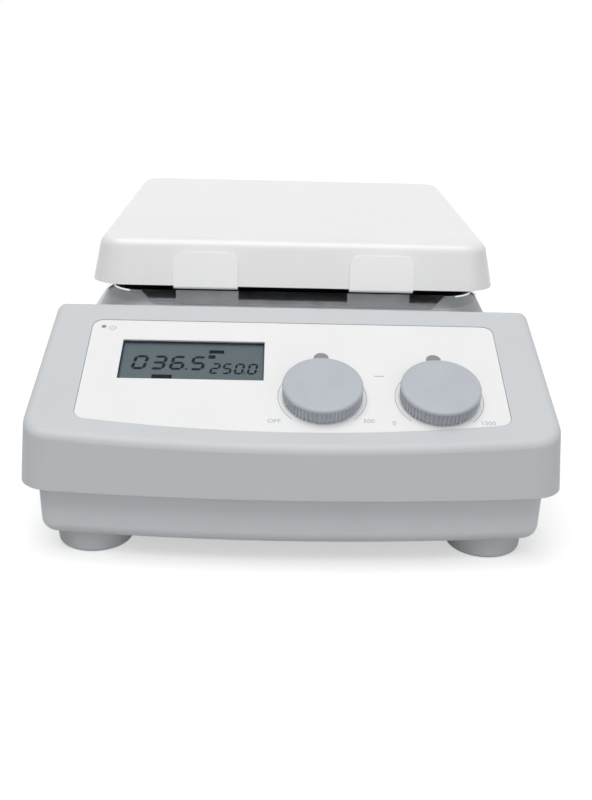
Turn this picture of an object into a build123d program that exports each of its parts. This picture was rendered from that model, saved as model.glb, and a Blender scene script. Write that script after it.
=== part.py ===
from build123d import *
import math
import os

# Plate and housing layout, seen from above
plate_side = 184.0
side_shelf = 15.5
front_reach = 98.0
rear_shelf = 28.0
front_bow = 6.8
body_corner = 14.0

# Heights, from the table up
foot_height = 9.4
tray_height = 23.5
skirt_height = 21.0
deck_height = 26.0
plate_gap = 3.3
plate_height = 20.5

# Upper cover
cover_wall = 2.5
cover_draft = 5.0
panel_angle = 22.4
panel_run = 83.1
back_slope = 75.0
crest_round = 4.2
ridge_round = 5.0
valley_round = 8.0
rim_flange = 2.5
rim_gap = 0.4

# Lower tray
tray_inset = 6.3
tray_wall = 2.2
tray_floor = 2.5
tray_draft = 1.5
tray_round = 6.0
tray_lip = 5.0
vent_length = 26.0
vent_width = 3.2
vent_pitch = 8.0
vent_count = 7
vent_spread = 38.0

# Pedestal that carries the plate
pedestal_flare = 10.5
pedestal_corner = 40.0
shoulder_inset = 3.9
shoulder_drop = 4.3
pedestal_top_inset = 9.2

# Reflector tray on the pedestal
reflector_sheet = 0.8
reflector_inset = 8.0
reflector_corner = 14.2
flap_length = 6.7
flap_angle = 40.0
flap_taper = 6.0
flap_corner = 4.0

# Heating plate
plate_corner = 15.0
plate_slope = 12.6
plate_wall = 4.0
plate_top = 5.0
plate_edge_round = 5.2

# Pan under the plate and what it holds
pan_inset = 9.0
pan_drop = 3.1
pan_sheet = 1.0
pan_corner = 18.0
pan_round = 1.6
pan_fit = 0.4
spacer_height = 1.4
spacer_radius = 6.0
stud_radius = 1.95
stud_head_radius = 4.5
stud_head_height = 1.5
stud_spread = 58.0
nut_height = 3.2
nut_width = 7.0
insulation_height = 15.5
element_radius = 70.0
element_pitch = 9.0
element_rings = 6
element_strip = 1.6
element_height = 3.0
element_gap = 2.0
sensor_radius = 1.0
sensor_length = 62.0
sensor_spread = 12.0

# Plate clips
clip_width = 28.8
clip_spacing = 79.2
clip_sheet = 1.2
clip_rise = 14.9
clip_corner = 5.0
clip_gap = 0.2
clip_bevel = 2.0
clip_tab = 5.0

# Panel film, window and lamps, in the panel's own plane
film_half_width = 85.5
film_front = 8.9
film_rear = 75.4
film_bow = 6.4
film_corner = 4.5
film_thickness = 0.6
film_recess = 0.8
film_gap = 0.25
window_x = -41.8
window_v = 50.6
window_width = 59.4
window_height = 24.4
lens_margin = 1.3
lens_thickness = 1.3
panel_gap = 0.2
glass_margin = 0.9
glass_thickness = 2.6
frame_margin = 2.2
lamp_radius = 3.1
lamp_v = 53.2
lamp_collar = 1.2
pilot_radius = 1.0
pilot_x = -80.8
pilot_v = 71.0

# Knobs and their encoders
heat_x = 11.5
stir_x = 58.3
knob_v = 29.2
knob_radius = 16.05
knob_top = 7.4
knob_lift = 0.8
knob_shoulder = 1.3
knob_wall = 2.2
knob_ribs = 60
rib_depth = 0.55
hub_radius = 5.0
spindle_radius = 3.0
spindle_flat = 2.4
spindle_clearance = 0.05
press_travel = 0.5
press_margin = 0.2
board_drop = 10.0
board_thickness = 1.6
encoder_side = 12.0
encoder_height = 6.4
encoder_wall = 0.6
bushing_radius = 4.0
bushing_rise = 1.0
detent_radius = 4.6
detent_gap = 0.3

# Control board
board_side_gap = 12.5
board_half_width = window_width / 2 - window_x + board_side_gap
board_front = 15.0
board_rear = 74.0
board_post_radius = 3.4
board_post_inset = 5.0

# Feet
foot_radius = 16.0
foot_lean = 0.8
foot_side_inset = 26.2
foot_end_inset = 32.0
foot_recess = 5.0
foot_recess_radius = 5.0
foot_edge_round = 1.5
foot_boss_height = 6.0

# Fasteners
screw_radius = 1.9
screw_head = 3.5
screw_head_height = 2.4
small_screw_radius = 1.4
small_screw_head = 2.6
small_screw_head_height = 1.7
pilot_clearance = 0.05
hole_clearance = 0.3
boss_radius = 5.5
post_inset = 14.5
front_post_inset = 55.0
rear_post_inset = 50.0
screw_grip = 9.0

# Drive under the plate
bracket_sheet = 2.0
bracket_length = 132.0
bracket_width = 60.0
bracket_hole_inset = 6.0
bracket_drop = 17.5
motor_radius = 27.0
motor_height = 28.0
motor_wall = 1.8
motor_end = 4.0
motor_screw_circle = 20.0
bearing_radius = 8.5
shaft_radius = 3.0
shaft_clearance = 0.05
air_gap = 0.5
stator_depth = 9.0
stator_teeth = 9
stator_slot = 2.4
rotor_end_gap = 2.0
magnet_radius = 10.0
magnet_height = 9.0
magnet_spread = 31.0
holder_length = 88.0
holder_width = 27.0
holder_height = 11.0
magnet_headroom = 2.0

# Power board and what stands on it
power_side_gap = 9.5
power_depth = 94.0
power_lift = 6.0
power_rear_gap = 34.0
power_post_radius = 3.5
power_post_inset = 6.0
transformer_size = (42.0, 36.0, 30.0)
transformer_x = -44.0
transformer_gap = 5.0
capacitor_radius = 8.0
capacitor_height = 25.0
capacitor_xs = (28.0, 48.0)
capacitor_gap = 9.0
sink_size = (42.0, 24.0, 26.0)
sink_x = 54.0
sink_gap = 13.0
sink_fins = 7
sink_wall = 1.8

# Rear connector plate, sized as seen from behind
connector_sheet = 1.5
connector_side_gap = 3.5
connector_border = 4.0
connector_head = 4.5
rear_window_drop = 6.6
rear_window_sill = 4.0
seat_gap = 0.3
keeper_width = 8.0
keeper_height = 12.0
keeper_sheet = 2.0
cutout_gap = 0.2

# Mains inlet with its fuse drawer
inlet_side_gap = 9.5
inlet_flange_width = 31.0
inlet_flange_height = 34.4
inlet_flange = 2.5
inlet_body_width = 27.2
inlet_body_height = 32.0
inlet_depth = 26.0
socket_width = 24.6
socket_height = 16.4
socket_depth = 17.0
socket_bevel = 4.0
socket_rise = 6.8
pin_width = 2.0
pin_height = 4.0
pin_length = 15.0
pin_spread = 7.0
pin_offset = 2.0
pin_tail = 6.0
flange_round = 2.0
drawer_width = 21.4
drawer_height = 7.6
drawer_length = 24.0
drawer_drop = 9.4
drawer_gap = 0.3
drawer_floor = 1.2
drawer_front = 2.4
drawer_grip = (8.0, 2.0, 1.4)
fuse_radius = 2.6
fuse_length = 20.0
fuse_gap = 0.1

# Power switch
switch_x = 10.0
switch_flange_width = 15.4
switch_flange_height = 21.4
switch_flange = 2.0
switch_body_width = 13.6
switch_body_height = 19.4
switch_depth = 14.0
rocker_width = 10.2
rocker_height = 16.2
rocker_depth = 7.0
rocker_gap = 0.5
rocker_tilt = 8.0
rocker_dish = 10.0
rocker_crown = 2.0
rocker_base = 3.0
rocker_pin_radius = 1.2
rocker_pin_depth = 3.2
rocker_pin_reach = 0.9

# Serial and probe sockets
serial_x = -22.0
serial_flange_width = 30.8
serial_flange_height = 12.5
serial_flange = 1.0
serial_shell_width = 17.0
serial_shell_height = 8.4
serial_shell_reach = 6.0
serial_shell_sheet = 0.6
serial_lean = 10.0
serial_body_depth = 10.0
serial_body_border = 1.2
serial_hole_radius = 0.6
serial_hole_depth = 4.0
serial_hole_pitch = 2.76
serial_row_pitch = 2.84
serial_screw_spread = 12.5
jack_width = 5.0
jack_height = 5.0
probe_side_gap = 9.0
probe_flange_radius = 9.0
probe_flange = 2.0
probe_radius = 7.0
probe_depth = 14.0
probe_recess_radius = 5.6
probe_recess = 5.0
probe_core_radius = 4.2
probe_core_height = 3.5
probe_hole_radius = 0.6
probe_hole_circle = 2.4
probe_holes = 5

# Socket for the support rod
rod_inset = 15.5
rod_thread_radius = 4.25
rod_bush_radius = 6.5
rod_boss_wall = 3.0
rod_flange_radius = 8.0
rod_flange_height = 1.6
rod_lift = 0.6

# Places worked out from the sizes above
body_width = plate_side + 2 * side_shelf
body_depth = front_reach + plate_side + rear_shelf
body_front = -body_depth / 2
body_rear = body_depth / 2
plate_y = body_front + front_reach + plate_side / 2
panel_tan = math.tan(math.radians(panel_angle))
draft_tan = math.tan(math.radians(cover_draft))
tray_run = tray_height * math.tan(math.radians(tray_draft))
rim_z = foot_height + tray_height
crest_z = rim_z + skirt_height
crest_y = body_front + skirt_height * draft_tan
ridge_y = crest_y + panel_run
ridge_z = crest_z + panel_run * panel_tan
deck_z = rim_z + deck_height
plate_z = ridge_z + plate_gap
plate_under_z = plate_z + plate_height - plate_top
pan_z = plate_z - pan_drop
pan_half = plate_side / 2 - pan_inset
reflector_z = pan_z - spacer_height
pedestal_z = reflector_z - reflector_sheet
pedestal_under_z = pedestal_z - cover_wall
floor_z = foot_height + tray_floor
mate_z = rim_z + tray_lip - 1
bracket_z = pedestal_under_z - bracket_drop
motor_z = bracket_z - bracket_sheet
motor_low_z = motor_z - motor_height
holder_z = pedestal_under_z - magnet_headroom - holder_height
power_z = floor_z + power_lift
post_x = body_width / 2 - post_inset
rod_point = (body_width / 2 - rod_inset, body_rear - rod_inset)
rod_boss_radius = rod_bush_radius + rod_boss_wall
power_width = 2 * (post_x - boss_radius - power_side_gap)
connector_width = 2 * (rod_point[0] - rod_boss_radius - connector_side_gap)
connector_y = body_rear - tray_inset - tray_run - tray_wall - seat_gap
power_y = connector_y - power_rear_gap - power_depth / 2
window_low_z = floor_z + rear_window_sill
window_high_z = deck_z - rear_window_drop
window_half = connector_width / 2 - connector_border
inlet_x = window_half - inlet_side_gap - inlet_flange_width / 2
probe_x = probe_side_gap + probe_flange_radius - window_half

panel_plane = Plane(
    origin=(0, crest_y, crest_z),
    x_dir=(1, 0, 0),
    z_dir=(0, -math.sin(math.radians(panel_angle)), math.cos(math.radians(panel_angle))),
)
rear_plane = Plane(
    origin=(0, connector_y, (window_low_z + window_high_z) / 2),
    x_dir=(-1, 0, 0),
    z_dir=(0, 1, 0),
)
side_signs = (-1, 1)
post_ys = (body_front + front_post_inset, plate_y, body_rear - rear_post_inset)
post_points = [(sign * post_x, y) for sign in side_signs for y in post_ys]
foot_x = body_width / 2 - foot_side_inset
foot_ys = {"front": body_front + foot_end_inset, "rear": body_rear - foot_end_inset}
foot_points = [(sign * foot_x, y) for sign in side_signs for y in foot_ys.values()]
stud_points = [(sx * stud_spread, plate_y + sy * stud_spread) for sx in side_signs for sy in side_signs]
bracket_hole_x = bracket_length / 2 - bracket_hole_inset
bracket_hole_y = bracket_width / 2 - bracket_hole_inset
bracket_points = [
    (sx * bracket_hole_x, plate_y + sy * bracket_hole_y) for sx in side_signs for sy in side_signs
]
power_points = [
    (
        sx * (power_width / 2 - power_post_inset),
        power_y + sy * (power_depth / 2 - power_post_inset),
    )
    for sx in side_signs
    for sy in side_signs
]
board_post_x = board_half_width - board_post_inset
board_points = [
    (sx * board_post_x, v)
    for sx in side_signs
    for v in (board_front + board_post_inset, board_rear - 2 * board_post_inset)
]
rod_low_z = rim_z + tray_lip + rod_lift
rod_depth = deck_z - rod_low_z


def write_piece(piece, name):
    """Label a finished piece and write its file."""
    piece.label = name
    export_step(piece, f"parts/{name}.step")


def upright(plane):
    """Plane through a face plane's origin that holds its normal, for turned profiles."""
    return Plane(origin=plane.origin, x_dir=plane.x_dir, z_dir=-plane.y_dir)


def housing_outline(inset):
    """Plan outline of the housing, set in all round by inset."""
    half = body_width / 2 - inset
    front = body_front + inset
    rear = body_rear - inset
    with BuildSketch() as outline:
        with BuildLine():
            Polyline((half, front + front_bow), (half, rear), (-half, rear), (-half, front + front_bow))
            ThreePointArc((-half, front + front_bow), (0, front), (half, front + front_bow))
        make_face()
        fillet(outline.vertices(), body_corner - inset)
    return outline.sketch


def cover_form(inset):
    """Closed block of the upper housing, set in all round by inset."""
    overrun = 20.0
    foot_y = ridge_y + (ridge_z - deck_z) / math.tan(math.radians(back_slope))
    lead = body_front - overrun
    with BuildPart() as form:
        with BuildSketch(Plane.XY.offset(rim_z)):
            add(housing_outline(inset))
        extrude(amount=ridge_z - rim_z, taper=cover_draft)
        with BuildSketch(Plane.YZ) as profile:
            with BuildLine():
                Polyline(
                    (lead, rim_z - overrun),
                    (body_rear + overrun, rim_z - overrun),
                    (body_rear + overrun, deck_z),
                    (foot_y, deck_z),
                    (ridge_y, ridge_z),
                    (lead, crest_z - (crest_y - lead) * panel_tan),
                    close=True,
                )
            make_face()
            if inset > 0:
                offset(amount=-inset, kind=Kind.INTERSECTION)
            ridge = profile.vertices().sort_by(Axis.Y)[-1]
            fillet(ridge, ridge_round - inset)
            low = profile.vertices().filter_by_position(Axis.X, ridge_y + ridge_round, body_rear)
            fillet(low.sort_by(Axis.Y)[0], valley_round + inset)
        extrude(amount=body_width, both=True, mode=Mode.INTERSECT)
        upper = form.edges().filter_by(lambda edge: edge.bounding_box().min.Z > rim_z + 0.1)
        across = upper.filter_by(Axis.X).filter_by_position(Axis.Y, body_front, body_rear - body_corner)
        fillet(upper - across, crest_round - inset)
    return form.part


def pedestal_form(inset):
    """Tapered pedestal with a bevelled shoulder, set in all round by inset."""
    foot = plate_side / 2 + pedestal_flare
    levels = (
        (deck_z - cover_wall, foot),
        (pedestal_z - shoulder_drop, plate_side / 2 - shoulder_inset),
        (pedestal_z - inset, plate_side / 2 - pedestal_top_inset),
    )
    with BuildPart() as form:
        for level, half in levels:
            with BuildSketch(Plane.XY.offset(level)):
                with Locations((0, plate_y)):
                    size = 2 * (half - inset)
                    RectangleRounded(size, size, pedestal_corner - foot + half - inset)
        loft(ruled=True)
    return form.part


def tray_form(inset, base_z):
    """Closed block of the lower tray from a level up, set in all round by inset."""
    lean = (rim_z - base_z) * math.tan(math.radians(tray_draft))
    corner = body_corner - tray_inset - inset - lean
    with BuildPart() as form:
        with BuildSketch(Plane.XY.offset(base_z)):
            add(housing_outline(tray_inset + inset + lean))
        extrude(amount=rim_z + tray_lip - base_z, taper=-tray_draft)
        fillet(form.faces().sort_by(Axis.Z)[0].edges(), min(tray_round - inset, 0.9 * corner))
    return form.part


def film_outline(margin):
    """Outline of the panel film, in the panel's plane, grown all round by margin."""
    half = film_half_width + margin
    front = film_front - margin
    rear = film_rear + margin
    with BuildSketch() as outline:
        with BuildLine():
            Polyline((half, front + film_bow), (half, rear), (-half, rear), (-half, front + film_bow))
            ThreePointArc((-half, front + film_bow), (0, front), (half, front + film_bow))
        make_face()
        fillet(outline.vertices(), film_corner + margin)
    return outline.sketch


def columns(plane, points, radius, height, bore=0.0):
    """Round columns on a plane, one at each point, with a bore where one is asked for."""
    with BuildPart() as group:
        with BuildSketch(plane):
            with Locations(*points):
                Circle(radius)
                if bore > 0:
                    Circle(bore, mode=Mode.SUBTRACT)
        extrude(amount=height)
    return group.part


def screws(plane, points, radius, head, head_height, length):
    """Pan-head screws on a plane: heads above it, shanks below."""
    with BuildPart() as group:
        with BuildSketch(plane):
            with Locations(*points):
                Circle(head)
        extrude(amount=head_height)
        fillet(group.edges().group_by(Axis(plane.origin, plane.z_dir))[-1], head_height / 3)
        with BuildSketch(plane):
            with Locations(*points):
                Circle(radius)
        extrude(amount=-length)
    return group.part


os.makedirs("parts", exist_ok=True)

# Upper cover: housing, pedestal, panel recess, posts and rear window in one casting
cover_outer = cover_form(0.0)
pedestal_outer = pedestal_form(0.0)
cover_hollow = cover_form(cover_wall)
pedestal_hollow = pedestal_form(cover_wall)
opening_width = window_width + 2 * (lens_margin + panel_gap)
opening_height = window_height + 2 * (lens_margin + panel_gap)

with BuildPart() as cover_posts:
    add(columns(Plane.XY.offset(mate_z), post_points, boss_radius, ridge_z - mate_z))
    with BuildSketch(Plane.XY.offset(rod_low_z)):
        with Locations(rod_point):
            Circle(rod_boss_radius)
    extrude(amount=rod_depth)
    add(cover_outer + pedestal_outer, mode=Mode.INTERSECT)

with BuildPart() as upper_cover:
    add(cover_outer)
    add(pedestal_outer)
    add(cover_hollow, mode=Mode.SUBTRACT)
    add(pedestal_hollow, mode=Mode.SUBTRACT)
    with BuildSketch(Plane.XY.offset(rim_z)):
        add(housing_outline(cover_wall / 2))
        add(housing_outline(tray_inset - rim_gap), mode=Mode.SUBTRACT)
    extrude(amount=rim_flange)
    add(cover_posts.part)
    post_bottom = Plane.XY.offset(bracket_z)
    add(columns(post_bottom, bracket_points, boss_radius, bracket_drop + cover_wall / 2))
    board_top = panel_plane.offset(-board_drop)
    add(columns(board_top, board_points, board_post_radius, board_drop - cover_wall / 2))
    # Recess for the film, and the openings under it
    with BuildSketch(panel_plane.offset(-film_recess)):
        add(film_outline(film_gap))
    extrude(amount=crest_round, mode=Mode.SUBTRACT)
    with BuildSketch(panel_plane):
        with Locations((window_x, window_v)):
            Rectangle(opening_width, opening_height)
        with Locations((heat_x, knob_v), (stir_x, knob_v)):
            Circle(bushing_radius + hole_clearance)
        with Locations((heat_x, lamp_v), (stir_x, lamp_v)):
            Circle(lamp_radius + panel_gap)
        with Locations((pilot_x, pilot_v)):
            Circle(pilot_radius + panel_gap)
    extrude(amount=-cover_wall - 1, mode=Mode.SUBTRACT)
    # Pilot holes, stud holes, rod bore and rear window
    pilot = screw_radius + pilot_clearance
    add(columns(Plane.XY.offset(mate_z), post_points, pilot, screw_grip + 1), mode=Mode.SUBTRACT)
    add(columns(post_bottom, bracket_points, pilot, screw_grip + 1), mode=Mode.SUBTRACT)
    small_pilot = small_screw_radius + pilot_clearance
    add(columns(board_top, board_points, small_pilot, board_drop - cover_wall), mode=Mode.SUBTRACT)
    stud_hole = stud_radius + hole_clearance
    stud_base = Plane.XY.offset(pedestal_under_z - 1)
    add(columns(stud_base, stud_points, stud_hole, cover_wall + 2), mode=Mode.SUBTRACT)
    rod_base = Plane.XY.offset(rod_low_z - 1)
    rod_hole = rod_bush_radius + pilot_clearance
    add(columns(rod_base, [rod_point], rod_hole, rod_depth + 2), mode=Mode.SUBTRACT)
    with BuildSketch(Plane.XZ.offset(-body_rear - 1)):
        with Locations((0, (rim_z - 1 + window_high_z) / 2)):
            Rectangle(2 * window_half, window_high_z - rim_z + 1)
    extrude(amount=tray_inset + 2, mode=Mode.SUBTRACT)
write_piece(upper_cover.part, "upper_cover")

# Lower tray: drafted walls, screw pillars, foot and board bosses, vents and rear window
with BuildPart() as base_tray:
    add(tray_form(0.0, foot_height))
    add(tray_form(tray_wall, floor_z), mode=Mode.SUBTRACT)
    add(columns(Plane.XY.offset(floor_z), post_points, boss_radius, mate_z - floor_z))
    add(columns(Plane.XY.offset(floor_z), foot_points, boss_radius, foot_boss_height))
    add(columns(Plane.XY.offset(floor_z), power_points, power_post_radius, power_lift))
    keeper_x = connector_width / 2 - keeper_width
    keeper_y = connector_y - connector_sheet - pilot_clearance - keeper_sheet / 2
    with BuildSketch(Plane.XY.offset(floor_z)):
        with Locations((-keeper_x, keeper_y), (keeper_x, keeper_y)):
            Rectangle(keeper_width, keeper_sheet)
    extrude(amount=keeper_height)
    groove_front = connector_y - connector_sheet - pilot_clearance
    groove_rear = connector_y + seat_gap / 2
    with BuildSketch(Plane.XY.offset(floor_z)):
        with Locations((0, (groove_front + groove_rear) / 2)):
            Rectangle(connector_width + 2 * seat_gap, groove_rear - groove_front)
    extrude(amount=tray_round, mode=Mode.SUBTRACT)
    seat_depth = screw_head_height + 1.5
    head_hole = screw_head + hole_clearance
    low_plane = Plane.XY.offset(foot_height)
    through = screw_radius + hole_clearance
    add(columns(low_plane, post_points, through, mate_z - foot_height), mode=Mode.SUBTRACT)
    add(columns(low_plane, post_points, head_hole, seat_depth), mode=Mode.SUBTRACT)
    foot_pilot_depth = tray_floor + foot_boss_height - 1
    add(columns(low_plane, foot_points, pilot, foot_pilot_depth), mode=Mode.SUBTRACT)
    add(columns(Plane.XY.offset(floor_z), power_points, small_pilot, power_lift), mode=Mode.SUBTRACT)
    with BuildSketch(low_plane):
        with Locations((0, plate_y - vent_spread), (0, plate_y + vent_spread)):
            with GridLocations(vent_pitch, 0, vent_count, 1):
                SlotOverall(vent_length, vent_width, rotation=90)
    extrude(amount=tray_floor, mode=Mode.SUBTRACT)
    with BuildSketch(Plane.XZ.offset(-body_rear)):
        with Locations((0, (window_low_z + rim_z + tray_lip + 1) / 2)):
            Rectangle(2 * window_half, rim_z + tray_lip + 1 - window_low_z)
    extrude(amount=tray_inset + tray_run + tray_wall + 1, mode=Mode.SUBTRACT)
write_piece(base_tray.part, "base_tray")

# Feet: turned rubber with a screw recess
foot_turns = {"left": -foot_x, "right": foot_x}
for end, foot_y in foot_ys.items():
    for side, x in foot_turns.items():
        with BuildPart() as foot:
            with BuildSketch(Plane(origin=(x, foot_y, 0), x_dir=(1, 0, 0), z_dir=(0, -1, 0))) as section:
                with BuildLine():
                    Polyline(
                        (through, foot_height),
                        (foot_radius, foot_height),
                        (foot_radius - foot_lean, 0),
                        (foot_recess_radius, 0),
                        (foot_recess_radius, foot_recess),
                        (through, foot_recess),
                        close=True,
                    )
                make_face()
                fillet(section.vertices().group_by(Axis.Y)[0].sort_by(Axis.X)[-1], foot_edge_round)
            revolve(axis=Axis((x, foot_y, 0), (0, 0, 1)))
        write_piece(foot.part, f"foot_{end}_{side}")

foot_seat = Plane(origin=(0, 0, foot_recess), x_dir=(1, 0, 0), z_dir=(0, 0, -1))
cover_seat = Plane(origin=(0, 0, foot_height + seat_depth), x_dir=(1, 0, 0), z_dir=(0, 0, -1))
below_feet = [(x, -y) for x, y in foot_points]
below_posts = [(x, -y) for x, y in post_points]
foot_screw_length = foot_height - foot_recess + foot_pilot_depth - 1
cover_screw_length = mate_z + screw_grip - foot_height - seat_depth
head_sizes = (screw_radius, screw_head, screw_head_height)
write_piece(screws(foot_seat, below_feet, *head_sizes, foot_screw_length), "foot_screws")
write_piece(screws(cover_seat, below_posts, *head_sizes, cover_screw_length), "cover_screws")

# Reflector: bright tray with four turned-down flaps
with BuildPart() as reflector_tray:
    reflector_half = plate_side / 2 - reflector_inset
    with BuildSketch(Plane.XY.offset(pedestal_z)):
        with Locations((0, plate_y)):
            RectangleRounded(2 * reflector_half, 2 * reflector_half, reflector_corner)
        with Locations(*stud_points):
            Circle(stud_radius + hole_clearance, mode=Mode.SUBTRACT)
    extrude(amount=reflector_sheet)
    flap_half = reflector_half - reflector_corner
    lean = math.radians(flap_angle)
    for turn in range(4):
        facing = Vector(0, -1, 0).rotate(Axis.Z, 90 * turn)
        bend = Vector(0, plate_y, reflector_z) + facing * reflector_half
        along = Vector(0, 0, 1).cross(facing)
        outward = facing * math.cos(lean) - Vector(0, 0, 1) * math.sin(lean)
        flap_plane = Plane(origin=bend, x_dir=along, z_dir=along.cross(outward))
        with BuildSketch(flap_plane) as flap:
            with BuildLine():
                Polyline(
                    (-flap_half, -reflector_sheet / 2),
                    (flap_half, -reflector_sheet / 2),
                    (flap_half, 0),
                    (flap_half - flap_taper, flap_length),
                    (flap_taper - flap_half, flap_length),
                    (-flap_half, 0),
                    close=True,
                )
            make_face()
            fillet(flap.vertices().group_by(Axis.Y)[-1], flap_corner)
        extrude(amount=reflector_sheet if flap_plane.z_dir.Z < 0 else -reflector_sheet)
write_piece(reflector_tray.part, "reflector_tray")

# Pan under the plate, on four spacers and studs
with BuildPart() as under_pan:
    with BuildSketch(Plane.XY.offset(pan_z)):
        with Locations((0, plate_y)):
            RectangleRounded(2 * pan_half, 2 * pan_half, pan_corner)
    extrude(amount=plate_under_z - pan_z)
    fillet(under_pan.faces().sort_by(Axis.Z)[0].edges(), pan_round)
    inner_half = pan_half - pan_sheet
    with BuildSketch(Plane.XY.offset(pan_z + pan_sheet)):
        with Locations((0, plate_y)):
            RectangleRounded(2 * inner_half, 2 * inner_half, pan_corner - pan_sheet)
    extrude(amount=plate_under_z - pan_z, mode=Mode.SUBTRACT)
    with Locations(*[(x, y, pan_z + pan_sheet) for x, y in stud_points]):
        Hole(stud_radius + hole_clearance, depth=pan_sheet)
write_piece(under_pan.part, "under_pan")

spacer_bore = stud_radius + hole_clearance
spacers = columns(Plane.XY.offset(reflector_z), stud_points, spacer_radius, spacer_height, spacer_bore)
write_piece(spacers, "pan_spacers")

with BuildPart() as pan_studs:
    stud_reach = pan_z + pan_sheet - pedestal_under_z + nut_height + 1
    add(columns(Plane.XY.offset(pan_z + pan_sheet), stud_points, stud_head_radius, stud_head_height))
    add(columns(Plane.XY.offset(pan_z + pan_sheet - stud_reach), stud_points, stud_radius, stud_reach))
write_piece(pan_studs.part, "pan_studs")

with BuildPart() as pan_nuts:
    with BuildSketch(Plane.XY.offset(pedestal_under_z - nut_height)):
        with Locations(*stud_points):
            RegularPolygon(nut_width / 2, 6, major_radius=False)
            Circle(stud_radius + pilot_clearance, mode=Mode.SUBTRACT)
    extrude(amount=nut_height)
write_piece(pan_nuts.part, "pan_nuts")

# Insulation with a round pocket, the element in it and the two plate sensors on it
insulation_z = pan_z + pan_sheet
insulation_top = insulation_z + insulation_height
pocket_radius = element_radius + element_strip + element_gap
pocket_depth = element_height + element_gap
with BuildPart() as insulation_block:
    fit_half = inner_half - pan_fit
    with BuildSketch(Plane.XY.offset(insulation_z)):
        with Locations((0, plate_y)):
            RectangleRounded(2 * fit_half, 2 * fit_half, pan_corner - pan_sheet - pan_fit)
    extrude(amount=insulation_height)
    with BuildSketch(Plane.XY.offset(insulation_top)):
        with Locations((0, plate_y)):
            Circle(pocket_radius)
    extrude(amount=-pocket_depth, mode=Mode.SUBTRACT)
    head_pocket = stud_head_radius + hole_clearance
    pocket_height = stud_head_height + hole_clearance
    add(
        columns(Plane.XY.offset(insulation_z), stud_points, head_pocket, pocket_height),
        mode=Mode.SUBTRACT,
    )
write_piece(insulation_block.part, "insulation_block")

with BuildPart() as heating_element:
    with BuildSketch(Plane.XY.offset(insulation_top - pocket_depth)):
        with Locations((0, plate_y)):
            for ring in range(element_rings):
                radius = element_radius - ring * element_pitch
                Circle(radius + element_strip / 2)
                Circle(radius - element_strip / 2, mode=Mode.SUBTRACT)
        bar_length = (element_rings - 1) * element_pitch
        bar_centre = element_radius - bar_length / 2
        with Locations((-bar_centre, plate_y), (bar_centre, plate_y)):
            Rectangle(bar_length, element_strip)
    extrude(amount=element_height)
write_piece(heating_element.part, "heating_element")

with BuildPart() as plate_sensors:
    sensor_z = plate_under_z - sensor_radius - pilot_clearance
    sensor_ys = (plate_y - sensor_spread, plate_y + sensor_spread)
    with BuildSketch(Plane.YZ.offset(-inner_half + pan_fit)):
        with Locations(*[(y, sensor_z) for y in sensor_ys]):
            Circle(sensor_radius)
    extrude(amount=sensor_length)
write_piece(plate_sensors.part, "plate_sensors")

# Heating plate: white slab with a sloping skirt, hollow below
with BuildPart() as heating_plate:
    with BuildSketch(Plane.XY.offset(plate_z)):
        with Locations((0, plate_y)):
            RectangleRounded(plate_side, plate_side, plate_corner)
    extrude(amount=plate_height, taper=plate_slope)
    fillet(heating_plate.faces().sort_by(Axis.Z)[-1].edges(), plate_edge_round)
    hollow_side = plate_side - 2 * plate_wall
    with BuildSketch(Plane.XY.offset(plate_z)):
        with Locations((0, plate_y)):
            RectangleRounded(hollow_side, hollow_side, plate_corner - plate_wall)
    extrude(amount=plate_height - plate_top, taper=plate_slope, mode=Mode.SUBTRACT)
write_piece(heating_plate.part, "heating_plate")


def clip_section(plate_front):
    """Side section of a clip: face on the skirt, bevel under the rim, leg and tab on the pan."""
    slope = math.tan(math.radians(plate_slope))
    face_y = plate_front - clip_gap
    pan_front = plate_y - pan_half
    leg_z = pan_z + pan_round
    bevel_y = face_y - clip_sheet + clip_bevel
    inner_bevel_y = bevel_y + clip_sheet / 2
    top_z = plate_z + clip_rise
    rim_low = plate_z - clip_gap
    return (
        (face_y - clip_sheet, rim_low),
        (bevel_y, leg_z),
        (pan_front, leg_z),
        (pan_front, leg_z + clip_sheet + clip_tab),
        (pan_front - clip_sheet, leg_z + clip_sheet + clip_tab),
        (pan_front - clip_sheet, leg_z + clip_sheet),
        (inner_bevel_y, leg_z + clip_sheet),
        (face_y + slope * clip_gap, rim_low + clip_gap),
        (face_y + slope * clip_rise, top_z),
        (face_y + slope * clip_rise - clip_sheet, top_z),
    )


# Plate clips: two on the front edge, two on the rear edge
with BuildPart() as plate_clips:
    plate_front = plate_y - plate_side / 2
    for sign in side_signs:
        with BuildSketch(Plane.YZ.offset(sign * clip_spacing / 2)):
            with BuildLine():
                Polyline(*clip_section(plate_front), close=True)
            make_face()
        extrude(amount=clip_width / 2, both=True)
    tops = plate_clips.edges().filter_by_position(Axis.Z, plate_z + clip_rise - 0.1, ridge_z + plate_side)
    fillet(tops.filter_by(Axis.Y), clip_corner)
    mirror(about=Plane.XZ.offset(-plate_y))
write_piece(plate_clips.part, "plate_clips")

# Panel film: thin overlay with the window and the openings for knobs and lamps
with BuildPart() as panel_film:
    with BuildSketch(panel_plane.offset(-film_recess)):
        add(film_outline(0.0))
        with Locations((window_x, window_v)):
            Rectangle(window_width, window_height, mode=Mode.SUBTRACT)
        with Locations((heat_x, knob_v), (stir_x, knob_v)):
            Circle(bushing_radius + hole_clearance, mode=Mode.SUBTRACT)
        with Locations((heat_x, lamp_v), (stir_x, lamp_v)):
            Circle(lamp_radius + pilot_clearance, mode=Mode.SUBTRACT)
        with Locations((pilot_x, pilot_v)):
            Circle(pilot_radius + pilot_clearance, mode=Mode.SUBTRACT)
    extrude(amount=film_thickness)
write_piece(panel_film.part, "panel_film")

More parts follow.
